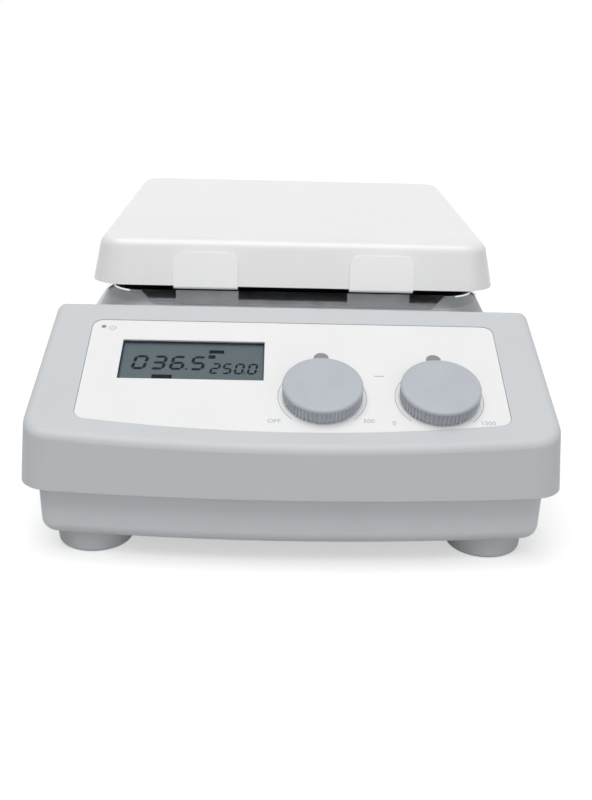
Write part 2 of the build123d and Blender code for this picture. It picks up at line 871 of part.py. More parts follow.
# Display: clear lens under the film, liquid crystal glass, and the frame that holds it on the board
lens_width = window_width + 2 * lens_margin
lens_height = window_height + 2 * lens_margin
glass_width = window_width + 2 * glass_margin
glass_height = window_height + 2 * glass_margin
glass_drop = film_recess + lens_thickness + panel_gap
frame_drop = cover_wall + panel_gap

with BuildPart() as display_lens:
    with BuildSketch(panel_plane.offset(-film_recess)):
        with Locations((window_x, window_v)):
            Rectangle(lens_width, lens_height)
    extrude(amount=-lens_thickness)
write_piece(display_lens.part, "display_lens")

with BuildPart() as display_glass:
    with BuildSketch(panel_plane.offset(-glass_drop)):
        with Locations((window_x, window_v)):
            Rectangle(glass_width, glass_height)
    extrude(amount=-glass_thickness)
write_piece(display_glass.part, "display_glass")

with BuildPart() as display_frame:
    with BuildSketch(panel_plane.offset(-board_drop)):
        with Locations((window_x, window_v)):
            Rectangle(window_width + 2 * frame_margin, window_height + 2 * frame_margin)
    extrude(amount=board_drop - frame_drop)
    with BuildSketch(panel_plane.offset(-glass_drop - glass_thickness)):
        with Locations((window_x, window_v)):
            Rectangle(glass_width + 2 * pilot_clearance, glass_height + 2 * pilot_clearance)
    extrude(amount=board_drop, mode=Mode.SUBTRACT)
write_piece(display_frame.part, "display_frame")

# Indicator lamps: light pipes from the board up to the film's face
lamp_points = ((heat_x, lamp_v, lamp_radius), (stir_x, lamp_v, lamp_radius), (pilot_x, pilot_v, pilot_radius))
lamp_face = film_recess - film_thickness
with BuildPart() as indicator_lamps:
    for x, v, radius in lamp_points:
        with BuildSketch(panel_plane.offset(-board_drop)):
            with Locations((x, v)):
                Circle(radius)
        extrude(amount=board_drop - lamp_face)
        with BuildSketch(panel_plane.offset(-frame_drop)):
            with Locations((x, v)):
                Circle(radius + lamp_collar)
        extrude(amount=-lamp_collar)
write_piece(indicator_lamps.part, "indicator_lamps")

# Control board on its posts
with BuildPart() as control_board:
    with BuildSketch(panel_plane.offset(-board_drop)):
        with Locations((0, (board_front + board_rear) / 2)):
            Rectangle(2 * board_half_width, board_rear - board_front)
        with Locations(*board_points):
            Circle(small_screw_radius + hole_clearance, mode=Mode.SUBTRACT)
    extrude(amount=-board_thickness)
write_piece(control_board.part, "control_board")


def knob_plane(x):
    """Plane on the panel's face at a knob's axis."""
    return Plane(
        origin=panel_plane.from_local_coords((x, knob_v, 0)),
        x_dir=panel_plane.x_dir,
        z_dir=panel_plane.z_dir,
    )


def keyed_circle(radius, flat):
    """Round section with one flat, for a spindle or the hole that it drives."""
    with BuildSketch() as section:
        Circle(radius)
        with Locations((0, flat + radius)):
            Rectangle(2 * radius, 2 * radius, mode=Mode.SUBTRACT)
    return section.sketch


def ribbed_knob(plane):
    """Turned knob with a smooth shoulder, vertical ribs, a hollow underside and a keyed hub."""
    low = knob_lift - film_recess + film_thickness
    rib_top = knob_top - knob_shoulder
    cap_low = knob_top - knob_wall
    core_radius = knob_radius - rib_depth
    with BuildPart() as knob:
        with BuildSketch(upright(plane)) as section:
            with BuildLine():
                Polyline(
                    (0, low),
                    (core_radius, low),
                    (core_radius, rib_top),
                    (core_radius - knob_shoulder, knob_top),
                    (0, knob_top),
                    close=True,
                )
            make_face()
            fillet(section.vertices().group_by(Axis.Y)[-1].sort_by(Axis.X)[-1], knob_shoulder / 2)
        revolve(axis=Axis(plane.origin, plane.z_dir))
        # Ribs round the side, up to the shoulder
        rib_half = math.pi * knob_radius / knob_ribs / 2
        with BuildSketch(plane.offset(low)):
            with PolarLocations(0, knob_ribs):
                with BuildLine():
                    Polyline(
                        (core_radius - rib_depth, -rib_half - rib_depth / 2),
                        (knob_radius, -rib_half / 2),
                        (knob_radius, rib_half / 2),
                        (core_radius - rib_depth, rib_half + rib_depth / 2),
                        close=True,
                    )
                make_face()
        extrude(amount=rib_top - low)
        with BuildSketch(plane.offset(low)):
            Circle(core_radius - knob_wall)
        extrude(amount=cap_low - low, mode=Mode.SUBTRACT)
        hub_low = bushing_rise + press_travel + press_margin
        with BuildSketch(plane.offset(hub_low)):
            Circle(hub_radius)
            add(keyed_circle(spindle_radius + pilot_clearance, spindle_flat + pilot_clearance), mode=Mode.SUBTRACT)
        extrude(amount=cap_low - hub_low)
    return knob.part


def spindle(plane):
    """Keyed spindle from just above the encoder's floor up into the knob's hub."""
    low = encoder_wall + press_travel + press_margin - board_drop
    with BuildPart() as shaft:
        with BuildSketch(plane.offset(low)):
            add(keyed_circle(spindle_radius, spindle_flat))
        extrude(amount=knob_top - knob_wall - pilot_clearance - low)
    return shaft.part


def encoder(plane):
    """Encoder housing on the board: a hollow square body with a round bushing."""
    roof = encoder_height - board_drop
    running = spindle_radius + spindle_clearance
    with BuildPart() as housing:
        with BuildSketch(plane.offset(-board_drop)):
            Rectangle(encoder_side, encoder_side)
        extrude(amount=encoder_height)
        with BuildSketch(plane.offset(roof)):
            Circle(bushing_radius)
        extrude(amount=bushing_rise - roof)
        with BuildSketch(plane.offset(encoder_wall - board_drop)):
            Circle(detent_radius + detent_gap)
        extrude(amount=encoder_height - 2 * encoder_wall, mode=Mode.SUBTRACT)
        with BuildSketch(plane.offset(encoder_wall - board_drop)):
            Circle(running)
        extrude(amount=board_drop + bushing_rise, mode=Mode.SUBTRACT)
    return housing.part


def detent_wheel(plane):
    """Toothed detent wheel inside the encoder, driven by the keyed spindle."""
    low = encoder_wall + detent_gap - board_drop
    with BuildPart() as wheel:
        with BuildSketch(plane.offset(low)):
            Circle(detent_radius)
            with PolarLocations(detent_radius, 12):
                Circle(detent_gap * 1.5, mode=Mode.SUBTRACT)
            bore = spindle_radius + spindle_clearance
            add(keyed_circle(bore, spindle_flat + spindle_clearance), mode=Mode.SUBTRACT)
        extrude(amount=encoder_height - 2 * encoder_wall - 2 * detent_gap)
    return wheel.part


# Two push knobs with their spindles, detent wheels and encoder housings
for control, control_x in {"heat": heat_x, "stir": stir_x}.items():
    face = knob_plane(control_x)
    write_piece(ribbed_knob(face), f"{control}_knob")
    write_piece(spindle(face), f"{control}_spindle")
    write_piece(detent_wheel(face), f"{control}_detent_wheel")
    write_piece(encoder(face), f"{control}_encoder")

# Drive: bracket, motor and magnet holder under the pedestal's roof
centre = Plane(origin=(0, plate_y, 0))
motor_screw_points = [
    (sx * motor_screw_circle / math.sqrt(2), plate_y + sy * motor_screw_circle / math.sqrt(2))
    for sx in side_signs
    for sy in side_signs
]
with BuildPart() as motor_bracket:
    with BuildSketch(Plane.XY.offset(motor_z)):
        with Locations((0, plate_y)):
            RectangleRounded(bracket_length, bracket_width, bracket_hole_inset)
            Circle(bearing_radius, mode=Mode.SUBTRACT)
        with Locations(*bracket_points):
            Circle(screw_radius + hole_clearance, mode=Mode.SUBTRACT)
        with Locations(*motor_screw_points):
            Circle(small_screw_radius + hole_clearance, mode=Mode.SUBTRACT)
    extrude(amount=bracket_sheet)
write_piece(motor_bracket.part, "motor_bracket")

bracket_seat = Plane(origin=(0, 0, motor_z), x_dir=(1, 0, 0), z_dir=(0, 0, -1))
below_bracket = [(x, -y) for x, y in bracket_points]
bracket_reach = bracket_sheet + screw_grip
write_piece(screws(bracket_seat, below_bracket, *head_sizes, bracket_reach), "bracket_screws")
small_sizes = (small_screw_radius, small_screw_head, small_screw_head_height)
motor_reach = bracket_sheet + motor_end
write_piece(screws(Plane.XY.offset(bracket_z), motor_screw_points, *small_sizes, motor_reach), "motor_screws")

inner_motor = motor_radius - motor_wall
running_shaft = shaft_radius + shaft_clearance
with BuildPart() as motor_housing:
    with BuildSketch(centre.offset(motor_low_z + motor_end)):
        Circle(motor_radius)
        Circle(inner_motor, mode=Mode.SUBTRACT)
    extrude(amount=motor_height - motor_end)
    with BuildSketch(centre.offset(motor_z - motor_end)):
        Circle(motor_radius)
        Circle(bearing_radius, mode=Mode.SUBTRACT)
    extrude(amount=motor_end)
    hole = small_screw_radius + pilot_clearance
    add(
        columns(Plane.XY.offset(motor_z - motor_end), motor_screw_points, hole, motor_end),
        mode=Mode.SUBTRACT,
    )
write_piece(motor_housing.part, "motor_housing")

with BuildPart() as motor_end_bell:
    with BuildSketch(centre.offset(motor_low_z)):
        Circle(motor_radius)
    extrude(amount=motor_end)
    with BuildSketch(centre.offset(motor_low_z)):
        Circle(bearing_radius + motor_wall)
        Circle(shaft_radius + hole_clearance, mode=Mode.SUBTRACT)
    extrude(amount=-motor_wall)
    with BuildSketch(centre.offset(motor_low_z)):
        Circle(bearing_radius)
    extrude(amount=motor_end, mode=Mode.SUBTRACT)
write_piece(motor_end_bell.part, "motor_end_bell")

with BuildPart() as motor_bearings:
    for level in (motor_low_z, motor_z - motor_end):
        with BuildSketch(centre.offset(level)):
            Circle(bearing_radius - pilot_clearance)
            Circle(running_shaft, mode=Mode.SUBTRACT)
        extrude(amount=motor_end)
write_piece(motor_bearings.part, "motor_bearings")

stator_bore = inner_motor - stator_depth
stator_low = motor_low_z + motor_end + rotor_end_gap
stator_height = motor_height - 2 * motor_end - 2 * rotor_end_gap
with BuildPart() as motor_stator:
    with BuildSketch(centre.offset(stator_low)):
        Circle(inner_motor - pilot_clearance)
        Circle(stator_bore, mode=Mode.SUBTRACT)
        with PolarLocations(stator_bore + stator_depth / 6, stator_teeth):
            Rectangle(stator_depth, stator_slot, mode=Mode.SUBTRACT)
    extrude(amount=stator_height)
write_piece(motor_stator.part, "motor_stator")

with BuildPart() as motor_rotor:
    with BuildSketch(centre.offset(stator_low)):
        Circle(stator_bore - air_gap)
        Circle(shaft_radius, mode=Mode.SUBTRACT)
    extrude(amount=stator_height)
write_piece(motor_rotor.part, "motor_rotor")

with BuildPart() as motor_shaft:
    with BuildSketch(centre.offset(motor_low_z + motor_wall)):
        Circle(shaft_radius)
    extrude(amount=holder_z + holder_height - motor_low_z - 2 * motor_wall)
write_piece(motor_shaft.part, "motor_shaft")

with BuildPart() as magnet_holder:
    with BuildSketch(centre.offset(holder_z)):
        SlotOverall(holder_length, holder_width)
        Circle(shaft_radius, mode=Mode.SUBTRACT)
    extrude(amount=holder_height)
    with BuildSketch(centre.offset(holder_z + holder_height)):
        with Locations((-magnet_spread, 0), (magnet_spread, 0)):
            Circle(magnet_radius + pilot_clearance)
    extrude(amount=-magnet_height, mode=Mode.SUBTRACT)
write_piece(magnet_holder.part, "magnet_holder")

magnet_points = [(sign * magnet_spread, plate_y) for sign in side_signs]
magnet_low = Plane.XY.offset(holder_z + holder_height - magnet_height)
write_piece(columns(magnet_low, magnet_points, magnet_radius, magnet_height), "drive_magnets")

# Power board on the tray's posts, with transformer, capacitors and heat sink
power_top = power_z + board_thickness
with BuildPart() as power_board:
    with BuildSketch(Plane.XY.offset(power_z)):
        with Locations((0, power_y)):
            Rectangle(power_width, power_depth)
        with Locations(*power_points):
            Circle(small_screw_radius + hole_clearance, mode=Mode.SUBTRACT)
    extrude(amount=board_thickness)
write_piece(power_board.part, "power_board")

with BuildPart() as board_screws:
    add(screws(Plane.XY.offset(power_top), power_points, *small_sizes, power_lift))
    under_board = panel_plane.offset(-board_drop - board_thickness)
    board_seat = Plane(origin=under_board.origin, x_dir=under_board.x_dir, z_dir=-under_board.z_dir)
    below_board = [(x, -v) for x, v in board_points]
    add(screws(board_seat, below_board, *small_sizes, power_lift))
write_piece(board_screws.part, "board_screws")

with BuildPart() as transformer:
    core_width, core_depth, core_height = transformer_size
    transformer_y = power_y + power_depth / 2 - transformer_gap - core_depth / 2
    with BuildSketch(Plane.XY.offset(power_top)):
        with Locations((transformer_x, transformer_y)):
            Rectangle(core_width, core_depth * 0.6)
    extrude(amount=core_height)
    with BuildSketch(Plane.XY.offset(power_top + core_height * 0.2)):
        with Locations((transformer_x, transformer_y)):
            RectangleRounded(core_width * 0.62, core_depth, core_depth * 0.12)
    extrude(amount=core_height * 0.6)
write_piece(transformer.part, "transformer")

capacitor_y = power_y + power_depth / 2 - capacitor_gap - capacitor_radius
capacitor_points = [(x, capacitor_y) for x in capacitor_xs]
capacitors = columns(Plane.XY.offset(power_top), capacitor_points, capacitor_radius, capacitor_height)
write_piece(capacitors, "capacitors")

with BuildPart() as heat_sink:
    sink_width, sink_depth, sink_height = sink_size
    with BuildSketch(Plane.XY.offset(power_top)):
        with Locations((sink_x, power_y - power_depth / 2 + sink_gap + sink_depth / 2)):
            with Locations((0, (sink_wall * 2 - sink_depth) / 2)):
                Rectangle(sink_width, sink_wall * 2)
            fin_pitch = (sink_width - sink_wall) / (sink_fins - 1)
            with GridLocations(fin_pitch, 0, sink_fins, 1):
                Rectangle(sink_wall, sink_depth)
    extrude(amount=sink_height)
write_piece(heat_sink.part, "heat_sink")

# Connector plate, standing in the tray's groove, with its cut-outs
with BuildPart() as connector_plate:
    plate_low = floor_z - rear_plane.origin.Z
    plate_high = deck_z - connector_head - rear_plane.origin.Z
    serial_body_width = serial_shell_width + 2 * serial_body_border
    serial_body_height = serial_shell_height + 2 * serial_body_border
    jack_points = [(serial_x + sign * serial_screw_spread, 0) for sign in side_signs]
    with BuildSketch(rear_plane):
        with Locations((0, (plate_low + plate_high) / 2)):
            Rectangle(connector_width, plate_high - plate_low)
        with Locations((inlet_x, 0)):
            Rectangle(
                inlet_body_width + 2 * cutout_gap, inlet_body_height + 2 * cutout_gap, mode=Mode.SUBTRACT
            )
        with Locations((switch_x, 0)):
            Rectangle(
                switch_body_width + 2 * cutout_gap, switch_body_height + 2 * cutout_gap, mode=Mode.SUBTRACT
            )
        with Locations((serial_x, 0)):
            Rectangle(
                serial_body_width + 2 * cutout_gap, serial_body_height + 2 * cutout_gap, mode=Mode.SUBTRACT
            )
        with Locations(*jack_points):
            Circle(small_screw_radius + hole_clearance, mode=Mode.SUBTRACT)
        with Locations((probe_x, 0)):
            Circle(probe_radius + cutout_gap, mode=Mode.SUBTRACT)
    extrude(amount=-connector_sheet)
write_piece(connector_plate.part, "connector_plate")

# Mains inlet: flange and body with the plug recess above and the fuse drawer's slot below
inlet_face = rear_plane.offset(inlet_flange)
pin_points = (
    (inlet_x - pin_spread, socket_rise - pin_offset),
    (inlet_x, socket_rise + pin_offset),
    (inlet_x + pin_spread, socket_rise - pin_offset),
)
with BuildPart() as mains_inlet:
    with BuildSketch(rear_plane):
        with Locations((inlet_x, 0)):
            RectangleRounded(inlet_flange_width, inlet_flange_height, flange_round)
    extrude(amount=inlet_flange)
    with BuildSketch(rear_plane):
        with Locations((inlet_x, 0)):
            Rectangle(inlet_body_width, inlet_body_height)
    extrude(amount=-inlet_depth)
    with BuildSketch(inlet_face) as socket_outline:
        with Locations((inlet_x, socket_rise)):
            Rectangle(socket_width, socket_height)
        chamfer(socket_outline.vertices().group_by(Axis.Y)[-1], socket_bevel)
    extrude(amount=-socket_depth, mode=Mode.SUBTRACT)
    with BuildSketch(inlet_face):
        with Locations((inlet_x, -drawer_drop)):
            Rectangle(drawer_width + 2 * drawer_gap, drawer_height + 2 * drawer_gap)
    extrude(amount=-drawer_length - drawer_gap, mode=Mode.SUBTRACT)
    with BuildSketch(inlet_face.offset(-socket_depth)):
        with Locations(*pin_points):
            Rectangle(pin_width, pin_height)
    extrude(amount=-inlet_depth, mode=Mode.SUBTRACT)
write_piece(mains_inlet.part, "mains_inlet")

with BuildPart() as inlet_pins:
    with BuildSketch(rear_plane.offset(-inlet_depth - pin_tail)):
        with Locations(*pin_points):
            Rectangle(pin_width, pin_height)
    extrude(amount=inlet_depth + pin_tail + inlet_flange - socket_depth + pin_length)
write_piece(inlet_pins.part, "inlet_pins")

# Fuse drawer with the fuse lying along its slide
trough_width = 2 * (fuse_radius + fuse_gap)
trough_y = drawer_front + fuse_gap + fuse_length / 2
with BuildPart() as fuse_drawer:
    with BuildSketch(inlet_face):
        with Locations((inlet_x, -drawer_drop)):
            Rectangle(drawer_width, drawer_height)
    extrude(amount=-drawer_length)
    trough_top = rear_plane.origin.Z - drawer_drop + drawer_height / 2
    with BuildSketch(Plane.XY.offset(trough_top)):
        with Locations((-inlet_x, inlet_face.origin.Y - trough_y)):
            Rectangle(trough_width, fuse_length + 2 * fuse_gap)
    extrude(amount=drawer_floor - drawer_height, mode=Mode.SUBTRACT)
    grip_width, grip_height, grip_depth = drawer_grip
    with BuildSketch(inlet_face):
        with Locations((inlet_x, (grip_height - drawer_height) / 2 - drawer_drop)):
            Rectangle(grip_width, grip_height)
    extrude(amount=-grip_depth, mode=Mode.SUBTRACT)
write_piece(fuse_drawer.part, "fuse_drawer")

with BuildPart() as fuse:
    fuse_v = drawer_floor + fuse_radius - drawer_height / 2 - drawer_drop
    with BuildSketch(inlet_face.offset(-drawer_front - fuse_gap)):
        with Locations((inlet_x, fuse_v)):
            Circle(fuse_radius)
    extrude(amount=-fuse_length)
write_piece(fuse.part, "fuse")

# Power switch: frame with a pocket, and the rocker on its two pins
pivot_depth = switch_flange - rocker_pin_depth
with BuildPart() as switch_frame:
    with BuildSketch(rear_plane):
        with Locations((switch_x, 0)):
            RectangleRounded(switch_flange_width, switch_flange_height, flange_round / 2)
    extrude(amount=switch_flange)
    with BuildSketch(rear_plane):
        with Locations((switch_x, 0)):
            Rectangle(switch_body_width, switch_body_height)
    extrude(amount=-switch_depth)
    with BuildSketch(rear_plane.offset(switch_flange)):
        with Locations((switch_x, 0)):
            Rectangle(rocker_width + 2 * rocker_gap, rocker_height + 2 * rocker_gap)
    extrude(amount=-switch_flange - rocker_depth, mode=Mode.SUBTRACT)
    with BuildSketch(Plane.YZ.offset(-switch_x)):
        with Locations((connector_y + pivot_depth, rear_plane.origin.Z)):
            Circle(rocker_pin_radius + pilot_clearance)
    extrude(amount=switch_body_width / 2, both=True, mode=Mode.SUBTRACT)
write_piece(switch_frame.part, "switch_frame")

with BuildPart() as switch_rocker:
    pivot = Vector(-switch_x, connector_y + pivot_depth, rear_plane.origin.Z)
    tilt = math.radians(rocker_tilt)
    rocker_plane = Plane(origin=pivot, x_dir=(0, -math.sin(tilt), math.cos(tilt)), z_dir=(-1, 0, 0))
    rise = rocker_crown + rocker_height / 2 * math.tan(math.radians(rocker_dish))
    with BuildSketch(rocker_plane):
        Circle(rocker_height / 2)
        with BuildLine():
            Polyline(
                (-rocker_height / 2, -rocker_base),
                (rocker_height / 2, -rocker_base),
                (rocker_height / 2, rise),
                (0, rocker_crown),
                (-rocker_height / 2, rise),
                close=True,
            )
        make_face(mode=Mode.INTERSECT)
    extrude(amount=rocker_width / 2, both=True)
    with BuildSketch(rocker_plane):
        Circle(rocker_pin_radius)
    extrude(amount=rocker_width / 2 + rocker_gap + rocker_pin_reach, both=True)
write_piece(switch_rocker.part, "switch_rocker")


def shell_outline(inset):
    """Outline of the serial socket's shell, set in all round by inset."""
    half = serial_shell_width / 2
    taper = serial_shell_height * math.tan(math.radians(serial_lean))
    with BuildSketch() as outline:
        with BuildLine():
            Polyline(
                (-half, serial_shell_height / 2),
                (half, serial_shell_height / 2),
                (half - taper, -serial_shell_height / 2),
                (taper - half, -serial_shell_height / 2),
                close=True,
            )
        make_face()
        fillet(outline.vertices(), flange_round)
        if inset > 0:
            offset(amount=-inset)
    return outline.sketch


# Serial socket with its shell, insert and two jack screws
with BuildPart() as serial_socket:
    with BuildSketch(rear_plane):
        with Locations((serial_x, 0)):
            RectangleRounded(serial_flange_width, serial_flange_height, flange_round)
        with Locations(*jack_points):
            Circle(small_screw_radius + pilot_clearance, mode=Mode.SUBTRACT)
    extrude(amount=serial_flange)
    with BuildSketch(rear_plane):
        with Locations((serial_x, 0)):
            Rectangle(serial_body_width, serial_body_height)
    extrude(amount=-serial_body_depth)
    with BuildSketch(rear_plane.offset(serial_flange)):
        with Locations((serial_x, 0)):
            add(shell_outline(0.0))
    extrude(amount=serial_shell_reach)
    serial_top = rear_plane.offset(serial_flange + serial_shell_reach)
    with BuildSketch(serial_top):
        with Locations((serial_x, 0)):
            add(shell_outline(serial_shell_sheet))
            add(shell_outline(2 * serial_shell_sheet), mode=Mode.SUBTRACT)
    extrude(amount=-serial_shell_reach, mode=Mode.SUBTRACT)
    with BuildSketch(serial_top):
        with Locations((serial_x, serial_row_pitch / 2)):
            with GridLocations(serial_hole_pitch, 0, 5, 1):
                Circle(serial_hole_radius)
        with Locations((serial_x, -serial_row_pitch / 2)):
            with GridLocations(serial_hole_pitch, 0, 4, 1):
                Circle(serial_hole_radius)
    extrude(amount=-serial_hole_depth, mode=Mode.SUBTRACT)
write_piece(serial_socket.part, "serial_socket")

with BuildPart() as serial_jackscrews:
    with BuildSketch(rear_plane.offset(serial_flange)):
        with Locations(*jack_points):
            RegularPolygon(jack_width / 2, 6, major_radius=False)
    extrude(amount=jack_height)
    with BuildSketch(rear_plane.offset(serial_flange + jack_height)):
        with Locations(*jack_points):
            Circle(small_screw_radius)
    extrude(amount=-jack_height + serial_flange, mode=Mode.SUBTRACT)
    with BuildSketch(rear_plane.offset(serial_flange)):
        with Locations(*jack_points):
            Circle(small_screw_radius)
    extrude(amount=-serial_flange - jack_height)
write_piece(serial_jackscrews.part, "serial_jackscrews")

# Round socket for a temperature probe
with BuildPart() as probe_socket:
    with BuildSketch(rear_plane):
        with Locations((probe_x, 0)):
            Circle(probe_flange_radius)
    extrude(amount=probe_flange)
    with BuildSketch(rear_plane):
        with Locations((probe_x, 0)):
            Circle(probe_radius)
    extrude(amount=-probe_depth)
    with BuildSketch(rear_plane.offset(probe_flange)):
        with Locations((probe_x, 0)):
            Circle(probe_recess_radius)
    extrude(amount=-probe_recess, mode=Mode.SUBTRACT)
    with BuildSketch(rear_plane.offset(probe_flange - probe_recess)):
        with Locations((probe_x, 0)):
            Circle(probe_core_radius)
            with PolarLocations(probe_hole_circle, probe_holes):
                Circle(probe_hole_radius, mode=Mode.SUBTRACT)
    extrude(amount=probe_core_height)
write_piece(probe_socket.part, "probe_socket")

# Threaded bush for the support rod, with its flange on the deck
with BuildPart() as rod_socket:
    with BuildSketch(Plane.XY.offset(deck_z)):
        with Locations(rod_point):
            Circle(rod_flange_radius)
            Circle(rod_thread_radius, mode=Mode.SUBTRACT)
    extrude(amount=rod_flange_height)
    with BuildSketch(Plane.XY.offset(rod_low_z)):
        with Locations(rod_point):
            Circle(rod_bush_radius)
            Circle(rod_thread_radius, mode=Mode.SUBTRACT)
    extrude(amount=rod_depth)
write_piece(rod_socket.part, "rod_socket")
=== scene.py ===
"""Hotplate stirrer: finishes, printed panel, display, knob grips, studio and camera."""

import logging
import math
from dataclasses import dataclass, field
from enum import Enum
from typing import Any, Iterable, Sequence

import bmesh
import bpy
from mathutils import Matrix, Vector

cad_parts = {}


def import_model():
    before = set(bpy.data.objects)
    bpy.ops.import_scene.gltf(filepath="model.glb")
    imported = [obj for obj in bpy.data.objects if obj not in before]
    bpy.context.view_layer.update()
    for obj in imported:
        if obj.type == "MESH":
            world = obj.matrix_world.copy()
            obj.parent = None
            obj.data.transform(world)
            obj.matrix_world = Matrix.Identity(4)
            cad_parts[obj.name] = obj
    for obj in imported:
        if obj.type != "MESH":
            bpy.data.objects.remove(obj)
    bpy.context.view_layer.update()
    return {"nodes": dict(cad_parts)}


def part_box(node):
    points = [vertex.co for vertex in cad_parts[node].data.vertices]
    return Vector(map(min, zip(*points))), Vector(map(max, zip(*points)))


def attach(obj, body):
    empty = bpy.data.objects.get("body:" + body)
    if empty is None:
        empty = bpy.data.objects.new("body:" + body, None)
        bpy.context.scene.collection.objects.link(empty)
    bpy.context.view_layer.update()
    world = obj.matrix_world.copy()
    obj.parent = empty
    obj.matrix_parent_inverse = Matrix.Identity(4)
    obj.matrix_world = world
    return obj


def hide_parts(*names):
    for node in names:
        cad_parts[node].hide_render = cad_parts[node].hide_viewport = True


LOG = logging.getLogger("hotplate_stirrer")
MM = 0.001
Colour = tuple[float, float, float, float]
Point = tuple[float, float]


def tone(red: float, green: float, blue: float) -> Colour:
    """Turn a display colour into the linear colour that nodes use.

    Args:
        red: Red, from 0 to 255.
        green: Green, from 0 to 255.
        blue: Blue, from 0 to 255.

    Returns:
        The linear colour, with full alpha.
    """

    def linear(channel: float) -> float:
        """Undo the display curve on one channel."""
        value = channel / 255.0
        return value / 12.92 if value <= 0.04045 else ((value + 0.055) / 1.055) ** 2.4

    return (linear(red), linear(green), linear(blue), 1.0)


def shade(colour: Colour, factor: float) -> Colour:
    """Scale a linear colour's brightness and keep its alpha."""
    return (colour[0] * factor, colour[1] * factor, colour[2] * factor, colour[3])


def grey(level: float) -> Colour:
    """Return a plain grey at a linear level from 0 to 1."""
    return (level, level, level, 1.0)


class Wire:
    """One output socket; arithmetic on it adds Math nodes to its tree."""

    def __init__(self, graph: "Graph", socket: bpy.types.NodeSocket) -> None:
        """Wrap an output socket.

        Args:
            graph: The node tree that new nodes go to.
            socket: The output that carries the value.
        """
        self.graph = graph
        self.socket = socket

    def _math(self, operation: str, first: Any, second: Any = 0.0) -> "Wire":
        """Add one Math node and return its result."""
        node = self.graph.place("ShaderNodeMath", {"operation": operation}, {0: first, 1: second})
        return Wire(self.graph, node.outputs[0])

    def __add__(self, other: Any) -> "Wire":
        """Sum."""
        return self._math("ADD", self, other)

    __radd__ = __add__

    def __mul__(self, other: Any) -> "Wire":
        """Product."""
        return self._math("MULTIPLY", self, other)

    __rmul__ = __mul__

    def __sub__(self, other: Any) -> "Wire":
        """Difference."""
        return self._math("SUBTRACT", self, other)

    def __rsub__(self, other: Any) -> "Wire":
        """Difference with the plain number first."""
        return self._math("SUBTRACT", other, self)

    def __truediv__(self, other: Any) -> "Wire":
        """Quotient."""
        return self._math("DIVIDE", self, other)

    def __rtruediv__(self, other: Any) -> "Wire":
        """Quotient with the plain number first."""
        return self._math("DIVIDE", other, self)

    def __abs__(self) -> "Wire":
        """Size without sign."""
        return self._math("ABSOLUTE", self)

    def lowest(self, other: Any) -> "Wire":
        """The smaller of the two."""
        return self._math("MINIMUM", self, other)

    def highest(self, other: Any) -> "Wire":
        """The larger of the two."""
        return self._math("MAXIMUM", self, other)

    def wave(self, period: float) -> "Wire":
        """Sine of the value, one full swing for each period."""
        return self._math("SINE", self * (math.tau / period))

    def between(self, low: float, high: float) -> "Wire":
        """Ease from 0 to 1.

        Args:
            low: Where the value is still 0.
            high: Where it has become 1.

        Returns:
            The eased value.
        """
        node = self.graph.place(
            "ShaderNodeMapRange",
            {"interpolation_type": "SMOOTHSTEP"},
            {"Value": self, "From Min": low, "From Max": high},
        )
        return Wire(self.graph, node.outputs[0])


class Graph:
    """A node tree and the one method that adds nodes to it."""

    def __init__(self, tree: bpy.types.NodeTree) -> None:
        """Wrap a node tree.

        Args:
            tree: The tree that gets the nodes.
        """
        self.tree = tree

    def place(
        self, kind: str, settings: dict[str, Any] | None = None, values: dict[Any, Any] | None = None
    ) -> bpy.types.Node:
        """Add a node.

        Args:
            kind: The node's type name.
            settings: Its properties, set first; "stops" fills a colour ramp.
            values: Socket name or index to a number, colour, socket, Wire or node.

        Returns:
            The new node.
        """
        node = self.tree.nodes.new(kind)
        for name, value in (settings or {}).items():
            if name == "stops":
                self._stops(node.color_ramp, value)
            else:
                setattr(node, name, value)
        for key, value in (values or {}).items():
            socket = node.inputs[key]
            if isinstance(value, Wire):
                self.tree.links.new(value.socket, socket)
            elif isinstance(value, bpy.types.NodeSocket):
                self.tree.links.new(value, socket)
            elif isinstance(value, bpy.types.Node):
                self.tree.links.new(value.outputs[0], socket)
            else:
                socket.default_value = value
        return node

    @staticmethod
    def _stops(ramp: bpy.types.ColorRamp, stops: Sequence[tuple[float, Colour]]) -> None:
        """Fill a colour ramp.

        Args:
            ramp: The node's ramp.
            stops: Places from 0 to 1, each with its colour.
        """
        while len(ramp.elements) > 1:
            ramp.elements.remove(ramp.elements[-1])
        ramp.elements[0].position, ramp.elements[0].color = stops[0]
        for position, colour in stops[1:]:
            ramp.elements.new(position).color = colour


